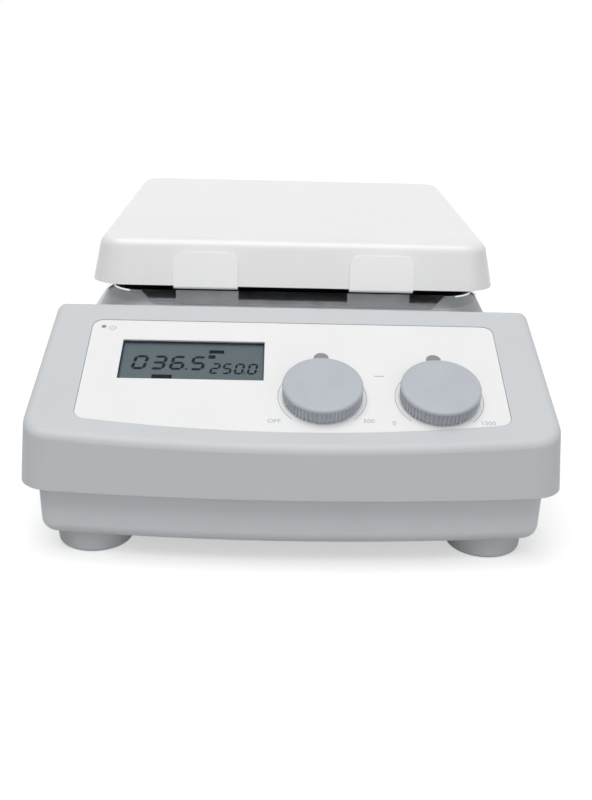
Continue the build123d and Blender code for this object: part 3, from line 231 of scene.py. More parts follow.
class Sheet(Graph):
    """A material's node tree, with the patterns that the finishes share."""

    def __init__(self, name: str) -> None:
        """Make an empty node material.

        Args:
            name: The material's name.
        """
        self.material = bpy.data.materials.new(name)
        self.material.use_nodes = True
        super().__init__(self.material.node_tree)
        self.tree.nodes.clear()
        self.place_of = self.place("ShaderNodeTexCoord").outputs["Object"]

    def axes(self) -> tuple[Wire, Wire, Wire]:
        """The piece's own X, Y and Z, in metres."""
        split = self.place("ShaderNodeSeparateXYZ", {}, {0: self.place_of})
        return tuple(Wire(self, output) for output in split.outputs)

    def stretched(self, scale: Sequence[float]) -> bpy.types.NodeSocket:
        """Coordinates scaled along each axis."""
        node = self.place("ShaderNodeMapping", {}, {"Vector": self.place_of, "Scale": tuple(scale)})
        return node.outputs[0]

    def noise(self, size: float, detail: float = 3.0, where: Any = None) -> Wire:
        """Add soft noise.

        Args:
            size: How wide its blotches are, in millimetres.
            detail: How many finer layers it has.
            where: Coordinates in place of the piece's own.

        Returns:
            The noise, about 0 to 1.
        """
        node = self.place(
            "ShaderNodeTexNoise",
            {},
            {"Vector": where or self.place_of, "Scale": 1.0 / (size * MM), "Detail": detail},
        )
        return Wire(self, node.outputs[0])

    def cells(self, size: float) -> Wire:
        """Distance from the middle of Voronoi cells about size millimetres across."""
        node = self.place("ShaderNodeTexVoronoi", {}, {"Vector": self.place_of, "Scale": 1.0 / (size * MM)})
        return Wire(self, node.outputs["Distance"])

    def blend(self, factor: Any, first: Any, second: Any) -> bpy.types.NodeSocket:
        """Mix two colours.

        Args:
            factor: 0 for the first, 1 for the second.
            first: A colour or its socket.
            second: A colour or its socket.

        Returns:
            The mixed colour.
        """
        node = self.place(
            "ShaderNodeMix", {"data_type": "RGBA"}, {"Factor": factor, "A": first, "B": second}
        )
        return node.outputs["Result"]

    def bump(self, height: Any, depth: float) -> bpy.types.NodeSocket:
        """A normal from a height pattern, depth millimetres from its low to its high."""
        node = self.place("ShaderNodeBump", {}, {"Height": height, "Distance": depth * MM, "Strength": 1.0})
        return node.outputs[0]

    def surface(self, **values: Any) -> bpy.types.Material:
        """Close the sheet with a Principled shader.

        Args:
            values: Its sockets, with underscores for the spaces in their names.

        Returns:
            The material.
        """
        named = {key.replace("_", " "): value for key, value in values.items()}
        shader = self.place("ShaderNodeBsdfPrincipled", {}, named)
        self.place("ShaderNodeOutputMaterial", {}, {"Surface": shader})
        return self.material


@dataclass(frozen=True)
class Finish:
    """What all finishes share: a name and a plain colour."""

    name: str
    colour: Colour

    @property
    def title(self) -> str:
        """The material's name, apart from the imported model's own names."""
        return f"{self.name}_finish"

    def build(self) -> bpy.types.Material:
        """Make the material; each finish has its own."""
        raise NotImplementedError

    def material(self) -> bpy.types.Material:
        """Return the finished material, made once."""
        return bpy.data.materials.get(self.title) or self.build()


@dataclass(frozen=True)
class Enamel(Finish):
    """Sprayed or stoved paint: slight orange peel and hardly visible cloudiness."""

    roughness: float = 0.42
    coat: float = 0.0
    peel: float = 1.6
    peel_depth: float = 0.006
    cloud: float = 0.985
    cloud_size: float = 38.0
    cloud_range: tuple[float, float] = (0.35, 0.7)
    cloud_roughness: float = 0.05
    speck_size: float = 0.9
    speck_height: float = 0.25
    speck_roughness: float = 0.08
    coat_roughness: float = 0.12

    def build(self) -> bpy.types.Material:
        """Make the paint.

        Returns:
            The material.
        """
        sheet = Sheet(self.title)
        cloud = sheet.noise(self.cloud_size, 2.0)
        speck = sheet.noise(self.speck_size, 2.0)
        clouded = shade(self.colour, self.cloud)
        colour = sheet.blend(cloud.between(*self.cloud_range), self.colour, clouded)
        height = sheet.noise(self.peel, 1.5) + speck * self.speck_height
        rough = self.roughness + (speck - 0.5) * self.speck_roughness + (cloud - 0.5) * self.cloud_roughness
        return sheet.surface(
            Base_Color=colour,
            Roughness=rough,
            Coat_Weight=self.coat,
            Coat_Roughness=self.coat_roughness,
            Normal=sheet.bump(height, self.peel_depth),
        )


@dataclass(frozen=True)
class Moulded(Finish):
    """Moulded plastic or rubber with an eroded mould grain."""

    roughness: float = 0.5
    grain: float = 0.5
    grain_depth: float = 0.01
    grain_middle: float = 0.4
    grain_roughness: float = 0.12
    specular: float = 0.5
    flow: float = 0.95
    flow_size: float = 14.0
    flow_range: tuple[float, float] = (0.3, 0.75)

    def build(self) -> bpy.types.Material:
        """Make the moulded surface.

        Returns:
            The material.
        """
        sheet = Sheet(self.title)
        flow = sheet.noise(self.flow_size, 2.0)
        grain = sheet.cells(self.grain)
        colour = sheet.blend(flow.between(*self.flow_range), self.colour, shade(self.colour, self.flow))
        return sheet.surface(
            Base_Color=colour,
            Roughness=self.roughness + (grain - self.grain_middle) * self.grain_roughness,
            Specular_IOR_Level=self.specular,
            Normal=sheet.bump(grain, self.grain_depth),
        )


@dataclass(frozen=True)
class Metal(Finish):
    """Bare or plated metal, with the fine lines of its last tool along one axis."""

    roughness: float = 0.3
    lines: tuple[float, float, float] = (1.0, 1.0, 1.0)
    line_width: float = 0.35
    line_depth: float = 0.002
    line_roughness: float = 0.2
    tint: Colour | None = None
    cloud: float = 0.86
    cloud_size: float = 9.0
    cloud_range: tuple[float, float] = (0.35, 0.75)
    cloud_roughness: float = 0.08

    def build(self) -> bpy.types.Material:
        """Make the metal.

        Returns:
            The material.
        """
        sheet = Sheet(self.title)
        brushed = sheet.noise(self.line_width, 2.0, sheet.stretched(self.lines))
        cloud = sheet.noise(self.cloud_size, 3.0)
        other = self.tint or shade(self.colour, self.cloud)
        colour = sheet.blend(cloud.between(*self.cloud_range), self.colour, other)
        rough = self.roughness + (brushed - 0.5) * self.line_roughness + (cloud - 0.5) * self.cloud_roughness
        return sheet.surface(
            Base_Color=colour,
            Metallic=1.0,
            Roughness=rough,
            Normal=sheet.bump(brushed, self.line_depth),
        )


@dataclass(frozen=True)
class PrintFilm(Finish):
    """Matt hard-coated overlay film with a very fine texture."""

    roughness: float = 0.46
    texture: float = 0.32
    texture_depth: float = 0.003
    texture_middle: float = 0.4
    texture_roughness: float = 0.1
    wave: float = 0.985
    wave_size: float = 30.0
    wave_range: tuple[float, float] = (0.3, 0.7)

    def build(self) -> bpy.types.Material:
        """Make the film.

        Returns:
            The material.
        """
        sheet = Sheet(self.title)
        texture = sheet.cells(self.texture)
        wave = sheet.noise(self.wave_size, 1.0)
        colour = sheet.blend(wave.between(*self.wave_range), self.colour, shade(self.colour, self.wave))
        return sheet.surface(
            Base_Color=colour,
            Roughness=self.roughness + (texture - self.texture_middle) * self.texture_roughness,
            Normal=sheet.bump(texture, self.texture_depth),
        )


@dataclass(frozen=True)
class LiquidCrystal(Finish):
    """Grey-blue liquid crystal face with the faint grid of its unlit cells, and painted shade towards its
    sides and upper end.
    """

    # Painted shade: the deep blue that the face darkens to at its sides and upper end, standing in for the
    # window recess's shadow.
    edge: Colour = tone(46, 60, 112)
    low: tuple[float, float, float] = (0.0, 0.0, 0.0)
    high: tuple[float, float, float] = (0.0, 0.0, 0.0)
    roughness: float = 0.45
    specular: float = 0.3
    cell: float = 0.96
    cell_pitch: float = 0.9
    cell_range: tuple[float, float] = (0.9, 1.0)
    side_shade_reach: tuple[float, float] = (0.6, 2.0)
    end_shade_reach: tuple[float, float] = (0.4, 2.4)

    def build(self) -> bpy.types.Material:
        """Make the display face, with painted shade darkening it towards its sides and upper end.

        Returns:
            The material.
        """
        sheet = Sheet(self.title)
        x, y, _ = sheet.axes()
        pitch = self.cell_pitch * MM
        cells = abs(x.wave(pitch)).highest(abs(y.wave(pitch)))
        inward = (x - self.low[0]).lowest(self.high[0] - x)
        side = inward.between(*(reach * MM for reach in self.side_shade_reach))
        end = (self.high[1] - y).between(*(reach * MM for reach in self.end_shade_reach))
        body = sheet.blend(cells.between(*self.cell_range), self.colour, shade(self.colour, self.cell))
        # Painted shade: blend to the edge colour near both sides and the upper end, for the shadow cast by
        # the window's recess.
        colour = sheet.blend(side.lowest(end), self.edge, body)
        return sheet.surface(Base_Color=colour, Roughness=self.roughness, Specular_IOR_Level=self.specular)


@dataclass(frozen=True)
class Clear(Finish):
    """Clear moulding or glass that is looked through."""

    alpha: float = 0.07
    roughness: float = 0.06
    wave_size: float = 12.0
    wave_depth: float = 0.002
    wave_roughness: float = 0.03

    def build(self) -> bpy.types.Material:
        """Make the clear surface.

        Returns:
            The material.
        """
        sheet = Sheet(self.title)
        wave = sheet.noise(self.wave_size, 1.0)
        return sheet.surface(
            Base_Color=self.colour,
            Roughness=self.roughness + wave * self.wave_roughness,
            Alpha=self.alpha,
            Normal=sheet.bump(wave, self.wave_depth),
        )


@dataclass(frozen=True)
class Laminate(Finish):
    """Circuit board: solder mask over a grid of copper tracks, with plated pads."""

    copper: Colour = tone(150, 160, 96)
    roughness: float = 0.3
    patch: float = 0.8
    track: float = 1.7
    track_scale: float = 62.0
    track_width: float = 0.016
    track_depth: float = 0.03
    track_roughness: float = 0.1
    pad_pitch: float = 5.5
    pad_range: tuple[float, float] = (0.17, 0.14)

    def build(self) -> bpy.types.Material:
        """Make the circuit board.

        Returns:
            The material.
        """
        sheet = Sheet(self.title)
        blocks = sheet.place(
            "ShaderNodeTexBrick",
            {"offset": 0.35, "squash": 0.6, "squash_frequency": 3},
            {
                "Vector": sheet.place_of,
                "Color1": self.colour,
                "Color2": shade(self.colour, self.patch),
                "Mortar": shade(self.colour, self.track),
                "Scale": self.track_scale,
                "Mortar Size": self.track_width,
            },
        )
        pads = sheet.cells(self.pad_pitch)
        colour = sheet.blend(pads.between(*self.pad_range), blocks.outputs["Color"], self.copper)
        tracks = Wire(sheet, blocks.outputs["Fac"])
        return sheet.surface(
            Base_Color=colour,
            Roughness=self.roughness + tracks * self.track_roughness,
            Normal=sheet.bump(tracks, self.track_depth),
        )


@dataclass(frozen=True)
class Layered(Finish):
    """Stacked sheets or wound turns: fine lines at one pitch up the piece."""

    pitch: float = 0.5
    metallic: float = 0.0
    roughness: float = 0.5
    line: float = 0.7
    layer_depth: float = 0.05
    layer_share: float = 0.5
    stain_size: float = 6.0
    stain_range: tuple[float, float] = (0.1, 0.9)
    stain_roughness: float = 0.2

    def build(self) -> bpy.types.Material:
        """Make the layered side.

        Returns:
            The material.
        """
        sheet = Sheet(self.title)
        _, _, z = sheet.axes()
        layers = z.wave(self.pitch * MM)
        stain = sheet.noise(self.stain_size, 3.0)
        worn = (layers * self.layer_share + stain).between(*self.stain_range)
        colour = sheet.blend(worn, shade(self.colour, self.line), self.colour)
        return sheet.surface(
            Base_Color=colour,
            Metallic=self.metallic,
            Roughness=self.roughness + (stain - 0.5) * self.stain_roughness,
            Normal=sheet.bump(layers, self.layer_depth),
        )


@dataclass(frozen=True)
class FibreBoard(Finish):
    """Pressed mineral fibre: matt, with loose strands and pits."""

    roughness: float = 0.92
    depth: float = 0.25
    strand: float = 0.82
    strand_size: float = 0.8
    strand_run: tuple[float, float, float] = (1.0, 0.25, 1.0)
    strand_range: tuple[float, float] = (0.35, 0.7)
    pit_size: float = 2.2
    pit_height: float = 0.4

    def build(self) -> bpy.types.Material:
        """Make the fibre board.

        Returns:
            The material.
        """
        sheet = Sheet(self.title)
        strands = sheet.noise(self.strand_size, 6.0, sheet.stretched(self.strand_run))
        pits = sheet.cells(self.pit_size)
        loose = strands.between(*self.strand_range)
        colour = sheet.blend(loose, shade(self.colour, self.strand), self.colour)
        height = strands + pits * self.pit_height
        return sheet.surface(
            Base_Color=colour, Roughness=self.roughness, Normal=sheet.bump(height, self.depth)
        )


HOUSING_PAINT = Enamel("housing_paint", tone(210, 213, 216), roughness=0.5)
# Painted light: the tray takes the cover's paint made lighter, to offset the shade that falls on it under
# the skirt.
TRAY_PAINT_WITH_PAINTED_LIGHT = Enamel("tray_paint_with_painted_light", tone(229, 233, 237), roughness=0.5)
PLATE_ENAMEL = Enamel("plate_enamel", tone(244, 244, 244), roughness=0.3, coat=0.25, peel=2.4)
CLIP_ENAMEL = Enamel("clip_enamel", tone(254, 254, 254), roughness=0.35, coat=0.25)
PAN_BLACK = Enamel("pan_black", tone(30, 30, 31), roughness=0.75, peel=0.7, peel_depth=0.02)
REFLECTOR = Metal("reflector_steel", tone(226, 227, 229), roughness=0.12, lines=(0.04, 1.0, 1.0))
ZINC = Metal("zinc_plate", tone(196, 196, 194), roughness=0.36)
TURNED = Metal("turned_steel", tone(186, 186, 188), roughness=0.24, lines=(1.0, 1.0, 0.05))
ALUMINIUM = Metal("brushed_aluminium", tone(206, 207, 209), roughness=0.34, lines=(0.05, 1.0, 1.0))
NICKEL = Metal("nickel", tone(204, 200, 192), roughness=0.16)
BRASS = Metal("pin_metal", tone(206, 186, 132), roughness=0.25, lines=(1.0, 0.06, 1.0))
HOT_STRIP = Metal("heat_tinted_strip", tone(120, 108, 98), roughness=0.5, tint=tone(92, 72, 88))
FILM = PrintFilm("panel_film", tone(246, 246, 246))
KNOB = Moulded("knob_plastic", tone(190, 194, 202), roughness=0.48, grain=0.4, grain_depth=0.006)
# Painted light: the feet's rubber is made lighter, to offset the shade that falls on them under the housing.
FOOT_WITH_PAINTED_LIGHT = Moulded("foot_rubber", tone(217, 221, 225), roughness=0.7, grain=0.7, specular=0.3)
BLACK_PLASTIC = Moulded("black_plastic", tone(34, 34, 36), roughness=0.5)
NYLON = Moulded("nylon", tone(228, 226, 216), roughness=0.45)
LAMP = Moulded("lamp_pipe", tone(146, 146, 149), roughness=0.3, grain=1.5, grain_depth=0.002)
PRINT_GREY = Moulded("panel_print", tone(178, 181, 185), roughness=0.55, grain=0.3, grain_depth=0.001)
SEGMENT = Moulded(
    "display_segment", tone(8, 14, 30), roughness=0.6, grain=0.3, grain_depth=0.001, specular=0.1
)
LENS = Clear("clear_lens", tone(62, 68, 76))
FUSE_GLASS = Clear("fuse_tube", tone(214, 220, 216), alpha=0.45)
BOARD = Laminate("board_laminate", tone(30, 104, 62))
COIL = Layered("transformer_coil", tone(205, 172, 74), pitch=0.9, line=0.6)
SLEEVE = Layered("capacitor_sleeve", tone(44, 56, 110), pitch=7.0, roughness=0.3, line=0.8)
STACK = Layered("motor_sheets", tone(112, 114, 118), pitch=0.5, metallic=0.9, roughness=0.45)
FIBRE = FibreBoard("fibre_board", tone(226, 222, 208))


class Body(Enum):
    """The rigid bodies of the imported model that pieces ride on."""

    HOUSING = "housing"
    HEAT = "heat_control"
    STIR = "stir_control"


@dataclass(frozen=True)
class Panel:
    """The sloping control panel's plane: u across, v up the slope, s out of it, in millimetres."""

    front: float = -153.16274
    height: float = 53.9
    angle: float = math.radians(22.4)
    dials: tuple[Point, Point] = ((11.5, 29.2), (58.3, 29.2))

    def at(self, u: float, v: float, s: float = 0.0) -> Vector:
        """Find a place on the panel.

        Args:
            u: How far across.
            v: How far up the slope.
            s: How far out of the panel.

        Returns:
            The place in the shared frame, in metres.
        """
        y = self.front + v * math.cos(self.angle) - s * math.sin(self.angle)
        z = self.height + v * math.sin(self.angle) + s * math.cos(self.angle)
        return Vector((u, y, z)) * MM

    def matrix(self, u: float, v: float, s: float = 0.0) -> Matrix:
        """Return the transform that lays a flat millimetre mesh on the panel."""
        turn = Matrix.Rotation(self.angle, 4, "X")
        return Matrix.Translation(self.at(u, v, s)) @ turn @ Matrix.Scale(MM, 4)


PANEL = Panel()


def add_piece(
    name: str,
    mesh: bpy.types.Mesh,
    finish: Finish,
    body: Body,
    stands_for: Iterable[str] = (),
) -> None:
    """Link a finished mesh as a piece of the model.

    Args:
        name: The piece's name.
        mesh: Its mesh, already in place.
        finish: What it is made of.
        body: The body that it rides on.
        stands_for: CAD nodes that it hides.
    """
    piece = bpy.data.objects.new(name, mesh)
    bpy.context.scene.collection.objects.link(piece)
    mesh.materials.clear()
    mesh.materials.append(finish.material())
    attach(piece, body.value)
    if stands_for:
        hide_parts(*stands_for)
    LOG.info("piece %s: %d faces", name, len(mesh.polygons))


def flat_mesh(name: str, outlines: Iterable[Sequence[Point]], thickness: float) -> bpy.types.Mesh:
    """Make thin plates from closed outlines, counter-clockwise, in millimetres.

    Args:
        name: The mesh's name.
        outlines: The outlines, each a list of points.
        thickness: How thick the plates are.

    Returns:
        The mesh, from height 0 up.
    """
    mesh = bpy.data.meshes.new(name)
    form = bmesh.new()
    for outline in outlines:
        low = [form.verts.new((x, y, 0.0)) for x, y in outline]
        high = [form.verts.new((x, y, thickness)) for x, y in outline]
        form.faces.new(list(reversed(low)))
        form.faces.new(high)
        count = len(outline)
        for here in range(count):
            there = (here + 1) % count
            form.faces.new((low[here], low[there], high[there], high[here]))
    bmesh.ops.recalc_face_normals(form, faces=form.faces)
    form.to_mesh(mesh)
    form.free()
    return mesh


def rectangle(left: float, low: float, right: float, high: float) -> list[Point]:
    """Return an upright rectangle's outline."""
    return [(left, low), (right, low), (right, high), (left, high)]


def text_mesh(text: str, size: float, thickness: float) -> bpy.types.Mesh:
    """Make a plain number or mark as a thin mesh, centred, in millimetres.

    Args:
        text: What it says.
        size: The letters' size.
        thickness: How thick the mesh is.

    Returns:
        The mesh, from height 0 up.
    """
    curve = bpy.data.curves.new("mark", "FONT")
    curve.body = text
    curve.size = size
    curve.align_x = "CENTER"
    curve.align_y = "CENTER"
    curve.extrude = thickness / 2.0
    carrier = bpy.data.objects.new("mark", curve)
    bpy.context.scene.collection.objects.link(carrier)
    bpy.context.view_layer.update()
    evaluated = carrier.evaluated_get(bpy.context.evaluated_depsgraph_get())
    mesh = bpy.data.meshes.new_from_object(evaluated)
    bpy.data.objects.remove(carrier)
    mesh.transform(Matrix.Translation((0.0, 0.0, thickness / 2.0)))
    return mesh


def arc_band(radius: float, width: float, start: float, end: float, steps: int) -> list[list[Point]]:
    """Cut an arc-shaped band into quads.

    Args:
        radius: The arc's middle radius.
        width: The band's width.
        start: Where it starts, in degrees clockwise from the top.
        end: Where it ends.
        steps: How many quads it has.

    Returns:
        The quads' outlines.
    """

    def spot(angle: float, reach: float) -> Point:
        """One point of the band."""
        return (reach * math.sin(math.radians(angle)), reach * math.cos(math.radians(angle)))

    quads = []
    inner, outer = radius - width / 2.0, radius + width / 2.0
    for step in range(steps):
        first = start + (end - start) * step / steps
        second = start + (end - start) * (step + 1) / steps
        quads.append([spot(first, inner), spot(second, inner), spot(second, outer), spot(first, outer)])
    return quads


def join(meshes: Sequence[bpy.types.Mesh], name: str) -> bpy.types.Mesh:
    """Join meshes into one, with their doubles left as they are.

    Args:
        meshes: The meshes, all in place.
        name: The joined mesh's name.

    Returns:
        The joined mesh.
    """
    form = bmesh.new()
    for mesh in meshes:
        form.from_mesh(mesh)
    result = bpy.data.meshes.new(name)
    form.to_mesh(result)
    form.free()
    return result


@dataclass(frozen=True)
class RibTree:
    """The Geometry Nodes tree that sets upright ribs round a turned cap."""

    inputs: tuple[tuple[str, str], ...] = (
        ("Ribs", "Int"),
        ("Reach", "Float"),
        ("Foot", "Float"),
        ("Height", "Float"),
        ("Half Depth", "Float"),
        ("Half Width", "Float"),
        ("Finish", "Material"),
    )
    sides: int = 12
    taper: float = 0.96

    def build(self) -> bpy.types.NodeTree:
        """Make the tree, with one named input for each size and one for the finish.

        Returns:
            The tree.
        """
        tree = bpy.data.node_groups.new("ribs_round_a_cap", "GeometryNodeTree")
        tree.interface.new_socket("Cap", in_out="INPUT", socket_type="NodeSocketGeometry")
        for title, kind in self.inputs:
            tree.interface.new_socket(title, in_out="INPUT", socket_type=f"NodeSocket{kind}")
        tree.interface.new_socket("Grip", in_out="OUTPUT", socket_type="NodeSocketGeometry")
        graph = Graph(tree)
        given = graph.place("NodeGroupInput").outputs
        ring = graph.place(
            "GeometryNodeMeshCircle", {}, {"Vertices": given["Ribs"], "Radius": given["Reach"]}
        )
        rib = graph.place(
            "GeometryNodeMeshCone",
            {},
            {
                "Vertices": self.sides,
                "Radius Top": self.taper,
                "Radius Bottom": 1.0,
                "Depth": given["Height"],
            },
        )
        girth = graph.place(
            "ShaderNodeCombineXYZ", {}, {"X": given["Half Depth"], "Y": given["Half Width"], "Z": 1.0}
        )
        lift = graph.place("ShaderNodeCombineXYZ", {}, {"Z": given["Foot"]})
        shaped = graph.place(
            "GeometryNodeTransform", {}, {"Geometry": rib, "Translation": lift, "Scale": girth}
        )
        step = Wire(graph, graph.place("GeometryNodeInputIndex").outputs[0]) / Wire(graph, given["Ribs"])
        turn = graph.place("ShaderNodeCombineXYZ", {}, {"Z": step * math.tau})
        spread = graph.place(
            "GeometryNodeInstanceOnPoints", {}, {"Points": ring, "Instance": shaped, "Rotation": turn}
        )
        solid = graph.place("GeometryNodeRealizeInstances", {}, {"Geometry": spread})
        both = graph.place("GeometryNodeJoinGeometry", {}, {0: solid})
        tree.links.new(given["Cap"], both.inputs[0])
        painted = graph.place(
            "GeometryNodeSetMaterial", {}, {"Geometry": both, "Material": given["Finish"]}
        )
        graph.place("NodeGroupOutput", {}, {"Grip": painted})
        return tree


@dataclass(frozen=True)
class KnobGrip:
    """The outside of a push knob: a hollow cap with a smooth rim over fine ribs, in millimetres."""

    radius: float = 16.05
    rib_depth: float = 0.8
    ribs: int = 60
    rib_share: float = 0.5
    low: float = 0.6
    top: float = 7.4
    rim: float = 1.9
    rim_step: float = 0.25
    shoulder: float = 1.1
    crown: float = 0.25
    wall: float = 2.2
    turn_steps: int = 180
    arc_steps: int = 6
    merge_gap: float = 0.002
    sharp_angle: float = math.radians(38.0)

    @property
    def core(self) -> float:
        """The radius between the ribs."""
        return self.radius - self.rib_depth

    def _outline(self) -> list[Point]:
        """Draw half of the cap's section: bore, side, rim, shoulder and crown.

        Returns:
            Its points, each a reach from the axis and a height.
        """
        core = self.core
        bore = core - self.wall
        roof = self.top - self.wall
        rim_low = self.top - self.rim
        points = [(0.0, roof), (bore, roof), (bore, self.low), (core, self.low), (core, rim_low)]
        points.append((self.radius, rim_low + self.rim_step))
        for index in range(self.arc_steps + 1):
            angle = math.radians(90.0) * index / self.arc_steps
            reach = self.radius - self.shoulder + self.shoulder * math.cos(angle)
            height = self.top - self.shoulder - self.crown + self.shoulder * math.sin(angle)
            points.append((reach, height))
        for index in range(1, self.arc_steps):
            share = 1.0 - index / self.arc_steps
            height = self.top - self.crown * share**2
            points.append(((self.radius - self.shoulder) * share, height))
        return points + [(0.0, self.top)]

    def _cap(self) -> bpy.types.Mesh:
        """Turn the outline round the knob's axis.

        Returns:
            The cap's mesh.
        """
        form = bmesh.new()
        corners = [form.verts.new((reach, 0.0, height)) for reach, height in self._outline()]
        edges = [form.edges.new(pair) for pair in zip(corners, corners[1:])]
        bmesh.ops.spin(
            form,
            geom=corners + edges,
            cent=(0.0, 0.0, 0.0),
            axis=(0.0, 0.0, 1.0),
            angle=math.tau,
            steps=self.turn_steps,
        )
        bmesh.ops.remove_doubles(form, verts=form.verts, dist=self.merge_gap)
        bmesh.ops.recalc_face_normals(form, faces=form.faces)
        cap = bpy.data.meshes.new("cap")
        form.to_mesh(cap)
        form.free()
        return cap

    def mesh(self, tree: bpy.types.NodeTree) -> bpy.types.Mesh:
        """Set the ribs round the cap and return the plain mesh.

        Args:
            tree: The rib tree.

        Returns:
            The grip, still in millimetres and at the origin.
        """
        values = {
            "Ribs": self.ribs,
            "Reach": self.core,
            "Foot": self.low,
            "Height": self.top - self.rim + self.rim_step - self.low,
            "Half Depth": self.rib_depth,
            "Half Width": self.rib_share * math.pi * self.radius / self.ribs,
            "Finish": KNOB.material(),
        }
        carrier = bpy.data.objects.new("grip", self._cap())
        bpy.context.scene.collection.objects.link(carrier)
        modifier = carrier.modifiers.new("ribs", "NODES")
        modifier.node_group = tree
        for item in tree.interface.items_tree:
            if item.item_type == "SOCKET" and item.in_out == "INPUT" and item.name in values:
                modifier[item.identifier] = values[item.name]
        bpy.context.view_layer.update()
        graph = bpy.context.evaluated_depsgraph_get()
        plain = bpy.data.meshes.new_from_object(carrier.evaluated_get(graph))
        carrier.modifiers.remove(modifier)
        bpy.data.objects.remove(carrier)
        plain.shade_smooth()
        plain.set_sharp_from_angle(angle=self.sharp_angle)
        return plain

    def build(self) -> None:
        """Make a grip for each control."""
        tree = RibTree().build()
        for (u, v), control, body in zip(PANEL.dials, ("heat", "stir"), (Body.HEAT, Body.STIR)):
            plain = self.mesh(tree)
            plain.transform(PANEL.matrix(u, v))
            add_piece(f"{control}_grip", plain, KNOB, body, [f"{control}_knob"])


@dataclass
class Dressing:
    """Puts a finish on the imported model's own nodes."""

    nodes: dict[str, bpy.types.Object]
    crystal: Colour = tone(104, 119, 123)
    finishes: dict[str, Finish] = field(
        default_factory=lambda: {
            "upper_cover": HOUSING_PAINT,
            "base_tray": TRAY_PAINT_WITH_PAINTED_LIGHT,
            "heating_plate": PLATE_ENAMEL,
            "plate_clips": CLIP_ENAMEL,
            "under_pan": PAN_BLACK,
            "reflector_tray": REFLECTOR,
            "insulation_block": FIBRE,
            "heating_element": HOT_STRIP,
            "panel_film": FILM,
            "display_lens": LENS,
            "display_frame": BLACK_PLASTIC,
            "indicator_lamps": LAMP,
            "control_board": BOARD,
            "power_board": BOARD,
            "heat_knob": KNOB,
            "stir_knob": KNOB,
            "heat_spindle": TURNED,
            "stir_spindle": TURNED,
            "heat_detent_wheel": NYLON,
            "stir_detent_wheel": NYLON,
            "heat_encoder": ZINC,
            "stir_encoder": ZINC,
            "motor_shaft": TURNED,
            "motor_bearings": TURNED,
            "motor_stator": STACK,
            "motor_rotor": STACK,
            "magnet_holder": ALUMINIUM,
            "drive_magnets": NICKEL,
            "heat_sink": ALUMINIUM,
            "connector_plate": ALUMINIUM,
            "transformer": COIL,
            "capacitors": SLEEVE,
            "mains_inlet": BLACK_PLASTIC,
            "switch_frame": BLACK_PLASTIC,
            "switch_rocker": BLACK_PLASTIC,
            "fuse_drawer": BLACK_PLASTIC,
            "probe_socket": BLACK_PLASTIC,
            "inlet_pins": BRASS,
            "fuse": FUSE_GLASS,
            "serial_socket": ZINC,
            "foot_front_left": FOOT_WITH_PAINTED_LIGHT,
            "foot_front_right": FOOT_WITH_PAINTED_LIGHT,
            "foot_rear_left": FOOT_WITH_PAINTED_LIGHT,
            "foot_rear_right": FOOT_WITH_PAINTED_LIGHT,
        }
    )

    def dress(self) -> None:
        """Give every node its material; what isn't listed is zinc plated."""
        low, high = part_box("display_glass")
        face = LiquidCrystal("liquid_crystal", self.crystal, low=tuple(low), high=tuple(high))
        for name, node in self.nodes.items():
            finish = face if name == "display_glass" else self.finishes.get(name, ZINC)
            node.data.materials.clear()
            node.data.materials.append(finish.material())
            LOG.info("node %s: %s", name, finish.name)


@dataclass
class PanelPrint:
    """The grey marks printed on the film: dial arcs, end numbers and small symbols."""

    ends: tuple[tuple[str, str], ...] = (("OFF", "500"), ("0", "1500"))
    arc_radius: float = 17.7
    arc_width: float = 0.28
    arc_end: float = 137.0
    arc_steps: int = 48
    number_size: float = 3.0
    left_number: Point = (-19.0, -14.2)
    right_number: Point = (18.0, -13.4)
    power_place: Point = (-77.0, 70.2)
    power_radius: float = 1.25
    power_width: float = 0.32
    power_gap: float = 35.0
    power_steps: int = 20
    power_stroke: tuple[float, float] = (0.2, 1.6)
    push_place: Point = (34.9, 42.3)
    push_half: Point = (2.0, 0.2)
    lift: float = -0.19
    thickness: float = 0.02

    def _placed(self, mesh: bpy.types.Mesh, place: Point) -> bpy.types.Mesh:
        """Lay a flat millimetre mesh on the film and return it."""
        mesh.transform(PANEL.matrix(*place, self.lift))
        return mesh

    def _marks(self, outlines: Iterable[Sequence[Point]], place: Point) -> bpy.types.Mesh:
        """Lay flat marks on the film round a place."""
        return self._placed(flat_mesh("marks", outlines, self.thickness), place)

    def _number(self, text: str, place: Point) -> bpy.types.Mesh:
        """Lay a number on the film."""
        return self._placed(text_mesh(text, self.number_size, self.thickness), place)

    def _power(self) -> list[list[Point]]:
        """Draw the standby sign: an open ring and a stroke.

        Returns:
            Its outlines.
        """
        ring_end = 360.0 - self.power_gap
        ring = arc_band(self.power_radius, self.power_width, self.power_gap, ring_end, self.power_steps)
        half = self.power_width / 2.0
        low, high = self.power_stroke
        return ring + [rectangle(-half, low, half, high)]

    def build(self) -> None:
        """Make all the print as one piece."""
        marks = []
        arc = arc_band(self.arc_radius, self.arc_width, -self.arc_end, self.arc_end, self.arc_steps)
        for (u, v), (left, right) in zip(PANEL.dials, self.ends):
            marks.append(self._marks(arc, (u, v)))
            for text, (across, up) in ((left, self.left_number), (right, self.right_number)):
                marks.append(self._number(text, (u + across, v + up)))
        marks.append(self._marks(self._power(), self.power_place))
        half_width, half_height = self.push_half
        push = rectangle(-half_width, -half_height, half_width, half_height)
        marks.append(self._marks([push], self.push_place))
        add_piece("panel_print", join(marks, "panel_print"), PRINT_GREY, Body.HOUSING)


@dataclass(frozen=True)
class Reading:
    """A number on the display: its digits and their cells, in millimetres on the panel."""

    digits: str
    lefts: tuple[float, ...]
    base: float
    width: float
    height: float
    line: float


